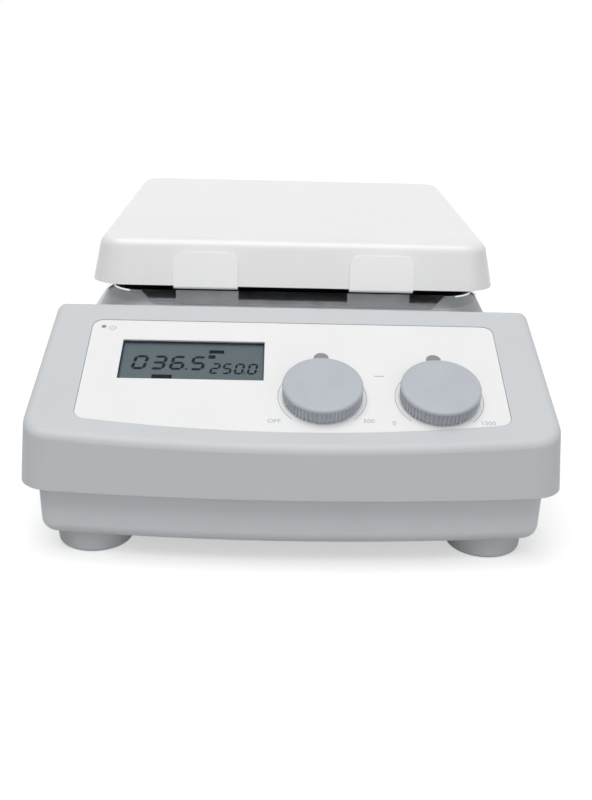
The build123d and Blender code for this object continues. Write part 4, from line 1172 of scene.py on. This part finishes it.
@dataclass
class Readout:
    """Dark segments on the liquid crystal face."""

    slant: float = math.tan(math.radians(9.0))
    level: float = -2.28
    thickness: float = 0.03
    tip_gap: float = 0.12
    readings: tuple[Reading, ...] = (
        Reading("0365", (-66.4, -58.6, -50.8, -42.4), base=46.9, width=4.7, height=7.5, line=1.35),
        Reading("2500", (-34.2, -29.2, -24.2, -18.8), base=44.7, width=3.0, height=5.8, line=0.95),
    )
    decimal_points: tuple[tuple[float, float, float, float], ...] = (
        (-44.6, 46.4, -43.7, 47.3),
        (-20.4, 44.4, -19.8, 45.0),
    )
    bars: tuple[tuple[float, float, float, float], ...] = (
        (-35.3, 57.0, -29.0, 59.1),
        (-35.4, 53.7, -32.5, 55.9),
        (-57.9, 40.9, -49.7, 43.2),
    )

    SEGMENTS = {
        "0": "abcdef",
        "1": "bc",
        "2": "abged",
        "3": "abgcd",
        "4": "fgbc",
        "5": "afgcd",
        "6": "afgecd",
        "7": "abc",
        "8": "abcdefg",
        "9": "abcdfg",
    }

    def _bar(self, start: Point, end: Point, width: float) -> list[Point]:
        """Outline a segment with pointed ends.

        Args:
            start: Where its centre line starts.
            end: Where its centre line ends.
            width: Its width.

        Returns:
            The outline.
        """
        along = Vector(end) - Vector(start)
        length = along.length
        along.normalize()
        across = Vector((-along.y, along.x)) * width / 2.0
        gap = along * width * self.tip_gap
        first, last = Vector(start) + gap, Vector(end) - gap
        tip = along * min(width / 2.0, length / 2.0)
        right_side = (first + tip - across, last - tip - across)
        left_side = (last - tip + across, first + tip + across)
        return [tuple(point) for point in (first, *right_side, last, *left_side)]

    def _digit(self, value: str, left: float, reading: Reading) -> list[list[Point]]:
        """Outline a digit's lit segments.

        Args:
            value: The digit.
            left: Left edge of its cell.
            reading: The number that it belongs to.

        Returns:
            One outline for each lit segment, slanted.
        """
        width, height = reading.width, reading.height
        corners = {
            "tl": (0.0, height),
            "tr": (width, height),
            "ml": (0.0, height / 2.0),
            "mr": (width, height / 2.0),
            "bl": (0.0, 0.0),
            "br": (width, 0.0),
        }
        ends = {
            "a": ("tl", "tr"),
            "b": ("mr", "tr"),
            "c": ("br", "mr"),
            "d": ("bl", "br"),
            "e": ("bl", "ml"),
            "f": ("ml", "tl"),
            "g": ("ml", "mr"),
        }
        lit = [ends[segment] for segment in self.SEGMENTS[value]]
        bars = [self._bar(corners[start], corners[end], reading.line) for start, end in lit]
        return [[(left + x + y * self.slant, reading.base + y) for x, y in bar] for bar in bars]

    def build(self) -> None:
        """Make the two readings, their points and the plain bars."""
        shapes: list[list[Point]] = []
        for reading in self.readings:
            for value, left in zip(reading.digits, reading.lefts):
                shapes += self._digit(value, left, reading)
        shapes += [rectangle(*box) for box in self.decimal_points + self.bars]
        mesh = flat_mesh("display_segments", shapes, self.thickness)
        mesh.transform(PANEL.matrix(0.0, 0.0, self.level))
        add_piece("display_segments", mesh, SEGMENT, Body.HOUSING)


@dataclass
class Studio:
    """Pale floor, soft lamps, white surroundings and the camera."""

    ambient: float = 0.3
    key: float = 1.72
    key_aim: tuple[float, float, float] = (0.1, 0.3, -1.0)
    key_spread: float = 50.0
    front: float = 0.58
    front_aim: tuple[float, float, float] = (-0.25, 1.0, -0.2)
    front_spread: float = 60.0
    floor_half: float = 3000.0
    floor_depth: float = 10.0
    floor_bounce: float = 0.34
    floor_paper: float = 0.68
    floor_glow: float = 0.5
    camera_place: tuple[float, float, float] = (-6.97, -519.56, 211.27)
    yaw: float = 0.0204
    pitch: float = 0.3594
    roll: float = 0.0259
    lens: float = 64.04
    sensor: float = 36.0
    nearest: float = 0.01

    @staticmethod
    def _seen(graph: Graph) -> Wire:
        """Tell the rays that are looked along, straight, in a reflection or through glass.

        Args:
            graph: The tree that asks.

        Returns:
            1 for such a ray, otherwise 0.
        """
        rays = graph.place("ShaderNodeLightPath").outputs
        camera = Wire(graph, rays["Is Camera Ray"])
        glossy = Wire(graph, rays["Is Glossy Ray"])
        through = Wire(graph, rays["Is Transmission Ray"])
        return (camera + glossy + through).lowest(1.0)

    def world(self) -> None:
        """Make the white surroundings."""
        world = bpy.data.worlds.new("surroundings")
        bpy.context.scene.world = world
        world.use_nodes = True
        graph = Graph(world.node_tree)
        graph.tree.nodes.clear()
        strength = self._seen(graph) * (1.0 - self.ambient) + self.ambient
        glow = graph.place("ShaderNodeBackground", {}, {"Color": grey(1.0), "Strength": strength})
        graph.place("ShaderNodeOutputWorld", {}, {"Surface": glow})

    def floor(self) -> None:
        """Lay the floor, white where it is looked at."""
        half = self.floor_half
        mesh = flat_mesh("floor", [rectangle(-half, -half, half, half)], self.floor_depth)
        mesh.transform(Matrix.Scale(MM, 4) @ Matrix.Translation((0.0, 0.0, -self.floor_depth)))
        sheet = Sheet("floor_paper")
        seen = self._seen(sheet)
        colour = sheet.blend(seen, grey(self.floor_bounce), grey(self.floor_paper))
        matt = sheet.place("ShaderNodeBsdfDiffuse", {}, {"Color": colour})
        glow = sheet.place("ShaderNodeEmission", {}, {"Strength": seen * self.floor_glow})
        both = sheet.place("ShaderNodeAddShader", {}, {0: matt, 1: glow})
        sheet.place("ShaderNodeOutputMaterial", {}, {"Surface": both})
        mesh.materials.append(sheet.material)
        floor = bpy.data.objects.new("floor", mesh)
        bpy.context.scene.collection.objects.link(floor)

    @staticmethod
    def _sun(name: str, strength: float, aim: tuple[float, float, float], spread: float) -> None:
        """Hang one wide, soft lamp.

        Args:
            name: The lamp's name.
            strength: Its strength.
            aim: The way that it shines.
            spread: How wide it is, in degrees.
        """
        lamp = bpy.data.lights.new(name, "SUN")
        lamp.energy = strength
        lamp.angle = math.radians(spread)
        holder = bpy.data.objects.new(name, lamp)
        holder.rotation_euler = Vector(aim).to_track_quat("-Z", "Y").to_euler()
        bpy.context.scene.collection.objects.link(holder)

    def camera(self) -> None:
        """Set up the camera at the photograph's place."""
        ahead = Vector(
            (
                math.sin(self.yaw) * math.cos(self.pitch),
                math.cos(self.yaw) * math.cos(self.pitch),
                -math.sin(self.pitch),
            )
        )
        right = Vector((math.cos(self.yaw), -math.sin(self.yaw), 0.0))
        up = right.cross(ahead)
        side = right * math.cos(self.roll) + up * math.sin(self.roll)
        top = up * math.cos(self.roll) - right * math.sin(self.roll)
        data = bpy.data.cameras.new("camera")
        data.sensor_fit = "HORIZONTAL"
        data.sensor_width = self.sensor
        data.lens = self.lens
        data.clip_start = self.nearest
        camera = bpy.data.objects.new("camera", data)
        turn = Matrix((side, top, -ahead)).transposed().to_4x4()
        camera.matrix_world = Matrix.Translation(Vector(self.camera_place) * MM) @ turn
        bpy.context.scene.collection.objects.link(camera)
        bpy.context.scene.camera = camera

    def build(self) -> None:
        """Set up everything that isn't part of the object."""
        bpy.context.scene.view_settings.view_transform = "Standard"
        self.world()
        self.floor()
        self._sun("key_lamp", self.key, self.key_aim, self.key_spread)
        self._sun("front_lamp", self.front, self.front_aim, self.front_spread)
        self.camera()
        LOG.info("studio ready")


def main() -> None:
    """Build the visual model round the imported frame."""
    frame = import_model()
    Studio().build()
    Dressing(frame["nodes"]).dress()
    KnobGrip().build()
    PanelPrint().build()
    Readout().build()


if __name__ == "__main__":
    logging.basicConfig(level=logging.INFO, format="%(name)s: %(message)s")
    main()
